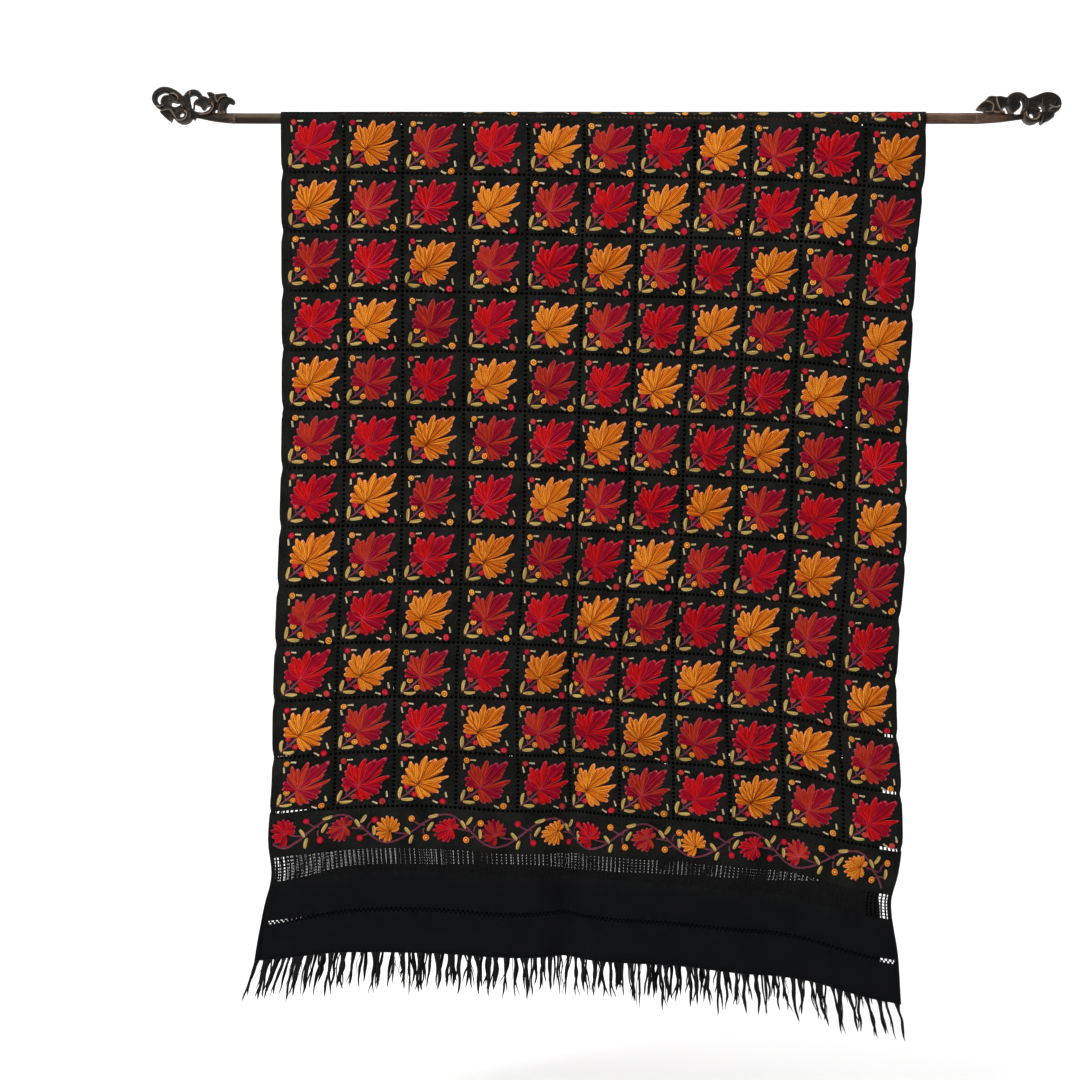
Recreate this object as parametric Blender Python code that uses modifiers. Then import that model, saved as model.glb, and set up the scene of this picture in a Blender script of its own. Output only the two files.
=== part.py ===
"""Embroidered stole folded over a round wooden rod with carved scroll ends.

Metres, +Z up, and the front of the cloth towards -Y. The origin is on the rod's
axis, half way along the rod. The cloth is drawn flat first, as the maker cuts it:
across runs over its width from 0 to 1, along runs down its length from the crest
of the rod, positive to the front hem and negative to the back hem. The function
hang() then says where each point of the flat cloth lies as it hangs.
"""

import math
import random
from collections import namedtuple

import bmesh
import bpy
from mathutils import Matrix, Vector

MM = 0.001

# Cloth as cut
CLOTH_WIDTH = 0.712
HALF_LENGTH = 0.9355
WALL = 1.2 * MM
SEAM = 0.3 * MM

# Drawn-thread lines: rows of motifs, then the vine border and the lace band
ROWS = 12
LONG_ROW = 65.3 * MM
SHORT_ROW = 61.2 * MM
LONG_ROWS = 9
VINE_HEIGHT = 47.5 * MM
LACE_HEIGHT = 24.5 * MM
ZIGZAG_ABOVE_HEM = 48.7 * MM

# Rod, and the radius of the cloth's middle where it bends over the rod
ROD_RADIUS = 6.2 * MM
ROD_LEFT = -0.4095
ROD_RIGHT = 0.4070
BEND_RADIUS = 7.2 * MM
QUARTER_BEND = BEND_RADIUS * math.pi / 2

# The stretch of cloth that bends over the rod, and how far it hangs past the bend
TURN_HANG = 4.0 * MM
TURN_RUN = QUARTER_BEND + TURN_HANG
TURN_STEPS = 10
TURN_COLUMNS = 8

# Fringe
FRINGE_STRIP = 5.0 * MM
STRANDS = 88
STRAND_SHARE = 0.56
FRINGE_LENGTH = 38.0 * MM

# How far the hanging cloth has run forward of its even place, at the crest, at
# the front hem and at the back hem. It hangs longer at the right of the front.
Lead = namedtuple("Lead", "across crest front_hem back_hem")
LEADS = [
    Lead(0.00, 6 * MM, 6 * MM, -6 * MM),
    Lead(0.13, 7 * MM, -1 * MM, -1 * MM),
    Lead(0.28, 8 * MM, -3 * MM, 2 * MM),
    Lead(0.45, 9 * MM, 1 * MM, 4 * MM),
    Lead(0.56, 10 * MM, 8 * MM, 6 * MM),
    Lead(0.68, 11 * MM, 15 * MM, 7 * MM),
    Lead(0.76, 12 * MM, 21 * MM, 8 * MM),
    Lead(0.84, 14 * MM, 28 * MM, 9 * MM),
    Lead(0.92, 18 * MM, 43 * MM, 10 * MM),
    Lead(1.00, 22 * MM, 54 * MM, 12 * MM),
]

# The two selvages of each fall, by the drop below the rod's axis
Selvages = namedtuple("Selvages", "drop left right")
FRONT_SELVAGES = [
    Selvages(0.000, -359.5 * MM, 352.7 * MM),
    Selvages(0.060, -359.5 * MM, 351.0 * MM),
    Selvages(0.135, -359.5 * MM, 343.0 * MM),
    Selvages(0.225, -359.5 * MM, 337.5 * MM),
    Selvages(0.355, -360.5 * MM, 331.0 * MM),
    Selvages(0.455, -363.2 * MM, 331.0 * MM),
    Selvages(0.570, -367.6 * MM, 322.9 * MM),
    Selvages(0.640, -369.8 * MM, 320.0 * MM),
    Selvages(0.740, -371.2 * MM, 325.5 * MM),
    Selvages(0.797, -375.3 * MM, 327.0 * MM),
    Selvages(0.833, -371.5 * MM, 323.0 * MM),
    Selvages(0.868, -377.0 * MM, 315.0 * MM),
    Selvages(0.925, -382.0 * MM, 322.5 * MM),
    Selvages(0.980, -386.0 * MM, 326.0 * MM),
    Selvages(1.050, -396.0 * MM, 333.0 * MM),
]
BACK_SELVAGES = [
    Selvages(0.000, -359.5 * MM, 352.7 * MM),
    Selvages(0.100, -359.5 * MM, 346.0 * MM),
    Selvages(0.290, -360.5 * MM, 331.0 * MM),
    Selvages(0.450, -363.0 * MM, 323.0 * MM),
    Selvages(0.600, -367.5 * MM, 312.0 * MM),
    Selvages(0.740, -371.0 * MM, 304.5 * MM),
    Selvages(0.800, -373.0 * MM, 304.0 * MM),
    Selvages(0.835, -372.0 * MM, 298.0 * MM),
    Selvages(0.870, -380.0 * MM, 303.5 * MM),
    Selvages(0.925, -390.0 * MM, 304.0 * MM),
    Selvages(1.000, -399.0 * MM, 305.0 * MM),
]

# Soft folds that run down each fall: where they stand across the hem, how far
# they lie to the right of that at the rod, their half width as shares of the
# cloth's width, how far they stand out from the rod's plane at the hem, the
# share of the width that they take up there, and the drop where they begin
Fold = namedtuple("Fold", "across drift half_width stand take_up begins")
FRONT_FOLDS = [
    Fold(0.00, 0.000, 0.035, -4.5 * MM, 0.00, 0.45),
    Fold(0.08, 0.010, 0.050, 6.0 * MM, 0.02, 0.22),
    Fold(0.21, 0.000, 0.075, -5.0 * MM, 0.00, 0.26),
    Fold(0.385, -0.015, 0.060, 8.0 * MM, 0.03, 0.15),
    Fold(0.475, 0.022, 0.021, -11.0 * MM, 0.24, 0.20),
    Fold(0.555, 0.015, 0.048, 8.0 * MM, 0.03, 0.30),
    Fold(0.73, -0.012, 0.045, 5.5 * MM, 0.02, 0.40),
    Fold(0.80, -0.010, 0.028, -6.0 * MM, 0.06, 0.48),
    Fold(0.91, 0.000, 0.048, 6.5 * MM, 0.03, 0.25),
    Fold(1.00, 0.000, 0.030, -4.0 * MM, 0.00, 0.35),
]
BACK_FOLDS = [
    Fold(0.02, 0.000, 0.030, -3.0 * MM, 0.00, 0.45),
    Fold(0.14, -0.010, 0.052, 6.5 * MM, 0.03, 0.20),
    Fold(0.27, 0.010, 0.028, -5.0 * MM, 0.10, 0.36),
    Fold(0.40, 0.000, 0.062, 7.0 * MM, 0.02, 0.28),
    Fold(0.53, 0.012, 0.050, -4.0 * MM, 0.03, 0.42),
    Fold(0.66, -0.012, 0.050, 8.0 * MM, 0.03, 0.22),
    Fold(0.79, 0.000, 0.024, -6.0 * MM, 0.14, 0.33),
    Fold(0.91, 0.008, 0.050, 6.0 * MM, 0.02, 0.30),
    Fold(1.00, 0.000, 0.030, -3.0 * MM, 0.00, 0.45),
]
FOLDS_FULL_DROP = 0.93

# Carved ends. A band is a stretch of an oval ring: its centre, the half sizes of
# its middle line, where it starts and how far it turns, and its width at both
# ends. A leaf is an outline. All are in millimetres from the rod's axis.
Band = namedtuple("Band", "x z wide tall start sweep first last depth")
Leaf = namedtuple("Leaf", "name depth outline")
BAND_STEPS = 20
ROOT_SIDES = 16
ROOT_TIP_RADIUS = 3.2 * MM
LEFT_ROOT_TIP = -0.4585
RIGHT_ROOT_TIP = 0.4640
LEFT_BANDS = [
    Band(-485.2, 21.4, 15.0, 9.8, -58, 318, 5.8, 6.2, 17.0),
    Band(-450.6, 16.4, 14.4, 12.4, 8, 350, 5.2, 5.8, 16.0),
    Band(-469.6, 4.4, 4.2, 4.2, 150, 350, 3.6, 3.6, 18.0),
]
LEFT_LEAVES = [
    Leaf("curl_in_first_scroll", 13.0, [
        (-488.6, 18.4), (-487.6, 22.4), (-484.0, 24.6), (-478.6, 25.0), (-474.6, 23.0),
        (-471.8, 18.6), (-477.0, 17.8), (-480.4, 16.8), (-481.4, 14.6), (-480.4, 12.0),
        (-482.0, 8.6), (-487.6, 10.2)]),
    Leaf("leaf_below_first_scroll", 15.0, [
        (-493.3, 7.4), (-487.0, 11.0), (-478.0, 10.2), (-474.6, 2.4), (-480.6, -4.3), (-486.9, 0.3)]),
    Leaf("web_between_scrolls", 14.0, [
        (-478.6, 10.6), (-473.4, 13.4), (-469.6, 23.6), (-464.6, 24.4), (-463.0, 6.0),
        (-458.2, 2.4), (-459.6, -1.2), (-465.6, 0.4), (-472.0, 1.8)]),
    Leaf("curl_in_second_scroll", 12.0, [
        (-455.0, 19.4), (-450.6, 22.0), (-445.6, 24.0), (-438.6, 22.6), (-435.6, 18.0),
        (-439.0, 14.2), (-443.0, 9.8), (-446.8, 9.8), (-449.0, 13.0), (-453.6, 15.4)]),
    Leaf("upright_leaf", 14.0, [
        (-441.4, 27.8), (-438.8, 28.6), (-435.4, 28.4), (-431.8, 26.8), (-431.0, 20.0),
        (-433.0, 13.0), (-438.4, 18.0), (-439.6, 24.6)]),
    Leaf("lying_leaf", 12.0, [
        (-432.4, 26.6), (-422.2, 27.0), (-419.4, 25.6), (-423.6, 22.6), (-429.0, 15.0), (-434.0, 18.0)]),
    Leaf("last_curl", 15.0, [
        (-437.6, 3.0), (-434.4, 15.0), (-428.4, 18.4), (-424.0, 22.6), (-419.4, 23.8), (-415.0, 22.2),
        (-411.8, 19.4), (-410.4, 16.0), (-411.6, 15.0), (-416.0, 14.6), (-419.4, 13.2), (-420.6, 11.0),
        (-417.2, 9.2), (-413.6, 7.2), (-411.4, 4.6), (-411.4, 2.6)]),
]
RIGHT_BANDS = [
    Band(486.6, 17.0, 12.2, 8.4, -158, 340, 6.6, 6.6, 20.0),
    Band(453.6, 16.0, 10.8, 8.8, -166, 346, 6.2, 6.2, 19.0),
    Band(469.2, 3.4, 4.8, 4.6, 60, 350, 4.6, 4.6, 21.0),
]
RIGHT_LEAVES = [
    Leaf("curl_in_end_scroll", 15.0, [
        (477.6, 14.4), (480.0, 20.6), (486.0, 22.6), (491.0, 18.4), (493.4, 16.6), (496.4, 14.0),
        (493.0, 8.6), (484.0, 7.6), (479.4, 10.0)]),
    Leaf("block_leaf", 16.0, [
        (478.0, 9.6), (494.6, 8.0), (493.6, -0.4), (485.8, -3.8), (482.4, -6.2), (479.6, -6.0),
        (477.4, -5.0), (474.0, -1.0)]),
    Leaf("web_between_scrolls", 17.0, [
        (459.4, 22.0), (464.0, 24.6), (472.0, 24.0), (478.6, 20.0), (480.0, 12.8), (477.2, 8.0),
        (474.0, -0.6), (464.0, -0.6), (460.0, 4.0)]),
    Leaf("curl_in_second_scroll", 14.0, [
        (445.0, 21.6), (451.6, 21.4), (455.0, 17.2), (454.6, 12.8), (451.0, 9.0), (447.4, 6.8),
        (442.6, 9.0), (442.0, 16.0)]),
    Leaf("standing_leaf", 15.0, [
        (429.6, 23.4), (435.6, 24.2), (441.2, 23.0), (445.0, 17.0), (443.0, 8.6), (446.2, 2.4),
        (433.8, 2.8), (430.0, 12.0)]),
    Leaf("last_curl", 18.0, [
        (408.6, 9.6), (411.0, 14.4), (416.0, 18.4), (419.2, 21.8), (423.0, 23.8), (430.4, 23.2),
        (433.6, 9.6), (436.0, 2.6), (424.4, 3.0), (424.0, 7.2), (417.6, 7.6), (416.8, 8.4), (408.9, 9.0)]),
]

Finish = namedtuple("Finish", "colour roughness")
WOOL = Finish((0.012, 0.013, 0.012, 1.0), 0.85)
YARN = Finish((0.008, 0.008, 0.009, 1.0), 0.80)
WALNUT = Finish((0.075, 0.050, 0.034, 1.0), 0.45)
CARVED = Finish((0.030, 0.022, 0.017, 1.0), 0.50)


def clear_scene():
    """Remove the objects that a new file starts with."""
    for thing in list(bpy.data.objects):
        bpy.data.objects.remove(thing)


def new_collection(name):
    """A collection of the scene."""
    group = bpy.data.collections.new(name)
    bpy.context.scene.collection.children.link(group)
    return group


def new_material(name, finish):
    """A Principled material with a finish's colour and roughness."""
    material = bpy.data.materials.new(name)
    material.use_nodes = True
    shader = material.node_tree.nodes["Principled BSDF"]
    shader.inputs["Base Color"].default_value = finish.colour
    shader.inputs["Roughness"].default_value = finish.roughness
    shader.inputs["Metallic"].default_value = 0.0
    return material


def new_object(name, bm, group, material=None, smooth=False):
    """An object made from a bmesh, which is freed."""
    mesh = bpy.data.meshes.new(name)
    bm.to_mesh(mesh)
    bm.free()
    if smooth:
        mesh.shade_smooth()
        mesh.set_sharp_from_angle(angle=math.radians(40))
    thing = bpy.data.objects.new(name, mesh)
    if material:
        mesh.materials.append(material)
    group.objects.link(thing)
    return thing


def read(rows, key, value, at):
    """A table's column read at a place along its key column, on a smooth curve."""
    keys = [getattr(row, key) for row in rows]
    values = [getattr(row, value) for row in rows]
    if at <= keys[0]:
        return values[0]
    if at >= keys[-1]:
        return values[-1]
    i = max(j for j in range(len(keys) - 1) if keys[j] <= at)
    steps = [(values[j + 1] - values[j]) / (keys[j + 1] - keys[j]) for j in range(len(keys) - 1)]

    def slope(j):
        if j == 0 or j == len(steps):
            return steps[min(j, len(steps) - 1)]
        return 0.0 if steps[j - 1] * steps[j] <= 0 else (steps[j - 1] + steps[j]) / 2

    span = keys[i + 1] - keys[i]
    t = (at - keys[i]) / span
    start = (2 * t ** 3 - 3 * t ** 2 + 1) * values[i] + (t ** 3 - 2 * t ** 2 + t) * span * slope(i)
    end = (3 * t ** 2 - 2 * t ** 3) * values[i + 1] + (t ** 3 - t ** 2) * span * slope(i + 1)
    return start + end


def grown(fold, drop):
    """How much of a fold is there at a drop below the rod, from 0 to 1."""
    t = (drop - fold.begins) / (FOLDS_FULL_DROP - fold.begins)
    t = max(0.0, min(1.0, t))
    return t * t * (3 - 2 * t)


def fold_centre(fold, drop):
    """Where a fold stands across the cloth at a drop below the rod."""
    return fold.across + fold.drift * (1 - min(1.0, drop / FOLDS_FULL_DROP))


def stand_out(folds, across, drop):
    """How far the folds carry the cloth out from the rod's plane."""
    total = 0.0
    for fold in folds:
        away = (across - fold_centre(fold, drop)) / fold.half_width
        total += fold.stand * grown(fold, drop) * math.exp(-away * away / 2)
    return total


def share_of_width(folds, across, drop):
    """Where a point of the cloth lies between the two selvages, from 0 to 1."""

    def taken(place):
        left = place
        for fold in folds:
            reach = fold.half_width * math.sqrt(2)
            area = fold.take_up * grown(fold, drop) * fold.half_width * math.sqrt(math.pi / 2)
            left -= area * math.erf((place - fold_centre(fold, drop)) / reach)
        return left

    return (taken(across) - taken(0.0)) / (taken(1.0) - taken(0.0))


def run_over_rod(across, along):
    """Distance of a point of the cloth from the crest of the rod, down its front."""
    hem = "front_hem" if along >= 0 else "back_hem"
    t = min(1.0, abs(along) / HALF_LENGTH)
    crest = read(LEADS, "across", "crest", across)
    return along + crest + (read(LEADS, "across", hem, across) - crest) * t


def along_at(across, run):
    """The place along the cloth that lies at a distance from the crest of the rod."""
    along = run
    for _ in range(4):
        along -= run_over_rod(across, along) - run
    return along


def middle(across, along):
    """The hanging place of a point in the middle of the cloth's wall."""
    run = run_over_rod(across, along)
    front = run >= 0
    selvages, folds = (FRONT_SELVAGES, FRONT_FOLDS) if front else (BACK_SELVAGES, BACK_FOLDS)
    drop = max(0.0, abs(run) - QUARTER_BEND)
    bend = min(abs(run) / BEND_RADIUS, math.pi / 2)
    left = read(selvages, "drop", "left", drop)
    right = read(selvages, "drop", "right", drop)
    x = left + (right - left) * share_of_width(folds, across, drop)
    y = BEND_RADIUS * math.sin(bend) + stand_out(folds, across, drop)
    z = BEND_RADIUS * math.cos(bend) - drop
    return Vector((x, -y if front else y, z))


def hang(across, along, out=0.0):
    """The hanging place of a point of the flat cloth, a distance out from its middle."""
    nudge = 1.0 * MM
    low, high = max(0.0, across - nudge), min(1.0, across + nudge)
    over = middle(high, along) - middle(low, along)
    down = middle(across, along + nudge) - middle(across, along - nudge)
    return middle(across, along) + down.cross(over).normalized() * out


def line_along(row):
    """How far along the cloth the drawn line under a row of motifs runs."""
    return LONG_ROW * min(row, LONG_ROWS) + SHORT_ROW * max(0, row - LONG_ROWS)


def fall_alongs():
    """The places along a fall where its wall has a row of vertices."""
    vine_foot = line_along(ROWS) + VINE_HEIGHT
    lines = [line_along(row) for row in range(1, ROWS + 1)]
    lace = [vine_foot, vine_foot + LACE_HEIGHT / 2, vine_foot + LACE_HEIGHT]
    zigzag = HALF_LENGTH - ZIGZAG_ABOVE_HEM
    return lines + lace + [zigzag, HALF_LENGTH - ZIGZAG_ABOVE_HEM / 2, HALF_LENGTH - FRINGE_STRIP]


def fall_acrosses(folds):
    """The places across a fall where its wall has a column of vertices."""
    even = [i / 20 for i in range(21)]
    tight = [fold for fold in folds if fold.half_width < 0.03 and 0 < fold.across < 1]
    near = [fold.across + side * 1.3 * fold.half_width for fold in tight for side in (-1, 0, 1)]
    clear = [place for place in even if all(abs(place - other) > 0.012 for other in near)]
    return sorted(clear + near)


def cloth_wall(name, acrosses, rows, group, material):
    """A hanging wall of cloth. Each row gives the place along the cloth from the place across."""
    bm = bmesh.new()
    bmesh.ops.create_grid(bm, x_segments=len(acrosses) - 1, y_segments=len(rows) - 1, size=1.0)
    for vert in bm.verts:
        across = acrosses[round((vert.co.x + 1) / 2 * (len(acrosses) - 1))]
        along = rows[round((vert.co.y + 1) / 2 * (len(rows) - 1))](across)
        vert.co = hang(across, along)
    bmesh.ops.reverse_faces(bm, faces=bm.faces)
    wall = new_object(name, bm, group, material, smooth=True)
    solidify = wall.modifiers.new("wall", "SOLIDIFY")
    solidify.thickness = WALL
    solidify.offset = 0.0
    return wall


def level_row(run):
    """A row at one distance from the crest of the rod, whatever has slid over it."""
    return lambda across: along_at(across, run)


def woven_row(along):
    """A row that follows the cloth's weft."""
    return lambda across: along


def front_fall(group, material):
    """The front half of the stole, from the rod to its hem."""
    rows = [level_row(TURN_RUN + SEAM)] + [woven_row(along) for along in fall_alongs()]
    return cloth_wall("stole_front_fall", fall_acrosses(FRONT_FOLDS), rows, group, material)


def back_fall(group, material):
    """The back half of the stole, from the rod to its hem."""
    rows = [level_row(-TURN_RUN - SEAM)] + [woven_row(-along) for along in fall_alongs()]
    return cloth_wall("stole_back_fall", fall_acrosses(BACK_FOLDS), rows[::-1], group, material)


def rod_turn(group, material):
    """The stretch of the stole that bends over the rod."""
    acrosses = [i / TURN_COLUMNS for i in range(TURN_COLUMNS + 1)]
    bends = [QUARTER_BEND * (2 * i / TURN_STEPS - 1) for i in range(TURN_STEPS + 1)]
    rows = [level_row(run) for run in [-TURN_RUN] + bends + [TURN_RUN]]
    return cloth_wall("stole_rod_turn", acrosses, rows, group, material)


def fringe(name, side, seed, group, material):
    """A narrow strip along a hem with its fringe strands, made flat and then hung."""
    chance = random.Random(seed)
    pitch = 1.0 / STRANDS
    bm = bmesh.new()
    bmesh.ops.create_grid(bm, x_segments=2 * STRANDS, y_segments=1, size=1.0)
    for vert in bm.verts:
        column = round((vert.co.x + 1) * STRANDS)
        shift = (1 - STRAND_SHARE) / 2
        across = (column // 2) * pitch + (1 - shift if column % 2 else shift) * pitch
        across = across if column < 2 * STRANDS else 1.0
        above = 0.0 if vert.co.y > 0 else FRINGE_STRIP - SEAM
        vert.co = (across * CLOTH_WIDTH, -above, -WALL / 2)
    bmesh.ops.recalc_face_normals(bm, faces=bm.faces)
    bmesh.ops.solidify(bm, geom=bm.faces[:], thickness=-WALL)
    middle_out = sum(vert.co.z for vert in bm.verts) / len(bm.verts)
    bmesh.ops.translate(bm, verts=bm.verts, vec=(0, 0, -middle_out))
    bmesh.ops.recalc_face_normals(bm, faces=bm.faces)
    feet = [face for face in bm.faces if face.normal.y > 0.9]
    feet.sort(key=lambda face: face.calc_center_median().x)
    roots = bmesh.ops.extrude_discrete_faces(bm, faces=feet[::2])["faces"]
    roots.sort(key=lambda face: face.calc_center_median().x)
    for root in roots:
        length = FRINGE_LENGTH * (0.88 + 0.22 * chance.random())
        sway = CLOTH_WIDTH * pitch * 0.22 * (2 * chance.random() - 1)
        lean = Vector((sway, length * 0.5, WALL * (chance.random() - 0.5)))
        taper(bm, root, lean, 0.62)
        tip = bmesh.ops.extrude_discrete_faces(bm, faces=[root])["faces"][0]
        place = tip.calc_center_median() + Vector((sway * 0.6, length * 0.5, 0.0))
        bmesh.ops.pointmerge(bm, verts=tip.verts[:], merge_co=place)
    for vert in bm.verts:
        along = side * (HALF_LENGTH + vert.co.y)
        vert.co = hang(min(1.0, max(0.0, vert.co.x / CLOTH_WIDTH)), along, vert.co.z)
    if side > 0:
        bmesh.ops.reverse_faces(bm, faces=bm.faces)
    return new_object(name, bm, group, material)


def taper(bm, face, move, share):
    """Shrink a face about its centre and move it."""
    centre = face.calc_center_median()
    bmesh.ops.scale(bm, verts=face.verts[:], vec=(share, share, share), space=Matrix.Translation(-centre))
    bmesh.ops.translate(bm, verts=face.verts[:], vec=move)


def rod(group, material):
    """The round wooden rod between the two carved ends."""
    bm = bmesh.new()
    turn = Matrix.Rotation(math.pi / 2, 4, "Y")
    place = Matrix.Translation(((ROD_LEFT + ROD_RIGHT) / 2, 0, 0))
    bmesh.ops.create_cone(bm, cap_ends=True, segments=28, radius1=ROD_RADIUS, radius2=ROD_RADIUS,
                          depth=ROD_RIGHT - ROD_LEFT, matrix=place @ turn)
    return new_object("rod", bm, group, material, smooth=True)


def cut_out(outline, depth):
    """A closed solid from an outline in the XZ plane, given in millimetres."""
    bm = bmesh.new()
    face = bm.faces.new([bm.verts.new((x * MM, depth * MM / 2, z * MM)) for x, z in outline])
    pushed = bmesh.ops.extrude_face_region(bm, geom=[face])["geom"]
    verts = [item for item in pushed if isinstance(item, bmesh.types.BMVert)]
    bmesh.ops.translate(bm, verts=verts, vec=(0, -depth * MM, 0))
    bmesh.ops.recalc_face_normals(bm, faces=bm.faces)
    return bm


def band_outline(band):
    """The outline of a stretch of an oval ring."""
    outer, inner = [], []
    for step in range(BAND_STEPS + 1):
        t = step / BAND_STEPS
        turn = math.radians(band.start + band.sweep * t)
        half = (band.first + (band.last - band.first) * t) / 2
        outer.append((band.x + (band.wide + half) * math.cos(turn),
                      band.z + (band.tall + half) * math.sin(turn)))
        inner.append((band.x + (band.wide - half) * math.cos(turn),
                      band.z + (band.tall - half) * math.sin(turn)))
    return outer + inner[::-1]


def finial(name, root_end, root_tip, bands, leaves, group, joined, material):
    """A carved end: scroll bands and leaves on a tapered root that meets the rod."""
    bm = bmesh.new()
    length = abs(root_tip - root_end)
    turn = Matrix.Rotation(math.copysign(math.pi / 2, root_tip - root_end), 4, "Y")
    place = Matrix.Translation(((root_tip + root_end) / 2, 0, 0))
    bmesh.ops.create_cone(bm, cap_ends=True, segments=ROOT_SIDES, radius1=ROD_RADIUS,
                          radius2=ROOT_TIP_RADIUS, depth=length, matrix=place @ turn)
    carved = new_object(name, bm, group, material, smooth=True)
    pieces = bpy.data.collections.new(name + "_pieces")
    joined.children.link(pieces)
    for number, band in enumerate(bands):
        piece = new_object(f"{name}_band_{number}", cut_out(band_outline(band), band.depth), pieces)
        mark_as_guide(piece)
    for leaf in leaves:
        piece = new_object(f"{name}_{leaf.name}", cut_out(leaf.outline, leaf.depth), pieces)
        mark_as_guide(piece)
    union = carved.modifiers.new("pieces", "BOOLEAN")
    union.operation = "UNION"
    union.operand_type = "COLLECTION"
    union.collection = pieces
    union.solver = "EXACT"
    return carved


def mark_as_guide(thing):
    """Show an object as a wire guide only."""
    thing.hide_render = True
    thing.display_type = "WIRE"


def main():
    """Build the stole, its rod and the carved ends."""
    clear_scene()
    group = new_collection("embroidered_stole")
    joined = new_collection("joined_pieces")
    wool = new_material("black_wool", WOOL)
    yarn = new_material("fringe_yarn", YARN)
    walnut = new_material("rod_wood", WALNUT)
    carved = new_material("carved_wood", CARVED)
    front_fall(group, wool)
    rod_turn(group, wool)
    back_fall(group, wool)
    fringe("fringe_front", 1, 11, group, yarn)
    fringe("fringe_back", -1, 23, group, yarn)
    rod(group, walnut)
    finial("finial_left", ROD_LEFT - SEAM, LEFT_ROOT_TIP, LEFT_BANDS, LEFT_LEAVES, group, joined, carved)
    finial("finial_right", ROD_RIGHT + SEAM, RIGHT_ROOT_TIP, RIGHT_BANDS, RIGHT_LEAVES, group, joined, carved)


main()
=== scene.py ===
"""Looks of an embroidered stole folded over a wooden rod with carved scroll ends.

Metres, +Z up, the front of the cloth towards -Y, the origin on the rod's axis. Every
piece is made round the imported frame. The cloth and all that is sewn to it are laid
out flat first, as the maker works them: x runs over the width from the left selvage,
and y runs along the length from the crest of the rod, positive to the front hem and
negative to the back hem. Drape.hang() then says where each flat point hangs.
"""

import logging
from dataclasses import dataclass, field
from enum import Enum
from functools import partial
from math import atan2, copysign, cos, exp, pi, radians, sin, sqrt, tau
from typing import NamedTuple

import bmesh
import bpy
import numpy as np
from bmesh.types import BMesh, BMLayerItem, BMVert
from bpy.types import Material, Mesh, Node, NodeSocket, NodeTree, Object
from mathutils import Matrix, Vector
from numpy import ndarray
from numpy.random import Generator


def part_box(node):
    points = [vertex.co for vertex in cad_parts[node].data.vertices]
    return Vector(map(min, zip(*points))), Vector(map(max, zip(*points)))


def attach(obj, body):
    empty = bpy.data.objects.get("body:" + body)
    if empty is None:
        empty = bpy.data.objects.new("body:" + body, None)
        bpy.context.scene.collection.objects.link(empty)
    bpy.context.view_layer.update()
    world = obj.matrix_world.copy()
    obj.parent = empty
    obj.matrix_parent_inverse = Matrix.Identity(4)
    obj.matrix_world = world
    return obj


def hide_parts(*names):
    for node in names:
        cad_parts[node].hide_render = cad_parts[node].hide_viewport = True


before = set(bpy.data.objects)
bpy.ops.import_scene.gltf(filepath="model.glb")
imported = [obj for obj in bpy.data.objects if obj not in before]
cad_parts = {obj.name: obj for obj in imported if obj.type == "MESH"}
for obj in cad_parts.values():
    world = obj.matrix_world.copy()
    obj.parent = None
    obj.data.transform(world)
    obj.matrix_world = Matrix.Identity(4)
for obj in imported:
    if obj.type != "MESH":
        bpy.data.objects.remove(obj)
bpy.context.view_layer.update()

LOG = logging.getLogger("stole")
MM = 0.001
Colour = tuple[float, float, float]
Pair = tuple[float, float]
Route = tuple[Pair, ...]


class Side(Enum):
    """The two halves of the stole as it hangs over its rod."""

    FRONT = 1
    BACK = -1


class Stripe(Enum):
    """What a narrow row or column of the flat cloth holds."""

    PLAIN = "plain cloth"
    BAR = "cloth beside a hole"
    HOLE = "cloth in line with a hole"
    LINE = "drawn-thread line"
    NET_ODD = "net row with holes at the odd places"
    NET_EVEN = "net row with holes at the even places"
    LACE = "lace row"
    NET_BAR = "thread between two net rows"


class Band(NamedTuple):
    """A row or column of the flat cloth, and the block of cloth that it belongs to."""

    kind: Stripe
    start: float
    stop: float
    block: int


class Lead(NamedTuple):
    """How far the hanging cloth has run forward of its even place, in millimetres."""

    across: float
    crest: float
    front_hem: float
    back_hem: float


class Selvages(NamedTuple):
    """Where both selvages hang, in millimetres, at a drop in metres below the rod."""

    drop: float
    left: float
    right: float


class Fold(NamedTuple):
    """A soft fold down a fall, with its stand in millimetres at the hem."""

    across: float
    drift: float
    half_width: float
    stand: float
    take_up: float
    begins: float


class Crease(NamedTuple):
    """A small soft ridge or trough. Sizes and stand are in millimetres."""

    across: float
    drop: float
    half_wide: float
    half_tall: float
    turn: float
    stand: float


class Sag(NamedTuple):
    """A place where the cloth has slipped. Along and half tall are in metres, slip in millimetres."""

    across: float
    along: float
    half_wide: float
    half_tall: float
    slip: float


# These four are at the front hem and, turned round, at the back hem.
BOTH_ENDS = [
    Sag(0.0, 0.885, 0.070, 0.024, 8.0),
    Sag(0.0, 0.832, 0.050, 0.016, 5.5),
    Sag(0.0, 0.755, 0.050, 0.040, 3.0),
    Sag(0.09, 0.940, 0.050, 0.040, -3.8),
]
SAGS = BOTH_ENDS + [sag._replace(along=-sag.along, slip=-sag.slip) for sag in BOTH_ENDS] + [
    Sag(0.0, 0.795, 0.060, 0.016, -6.0),
    Sag(0.37, 0.840, 0.070, 0.110, 4.5),
    Sag(0.47, 0.900, 0.030, 0.050, -2.5),
    Sag(0.64, 0.955, 0.090, 0.030, -2.8),
    Sag(0.89, 0.940, 0.045, 0.045, -4.5),
    Sag(1.0, 0.880, 0.080, 0.026, 5.0),
    Sag(0.42, 0.330, 0.200, 0.200, 3.6),
    Sag(0.95, 0.300, 0.250, 0.300, 3.2),
]
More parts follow.
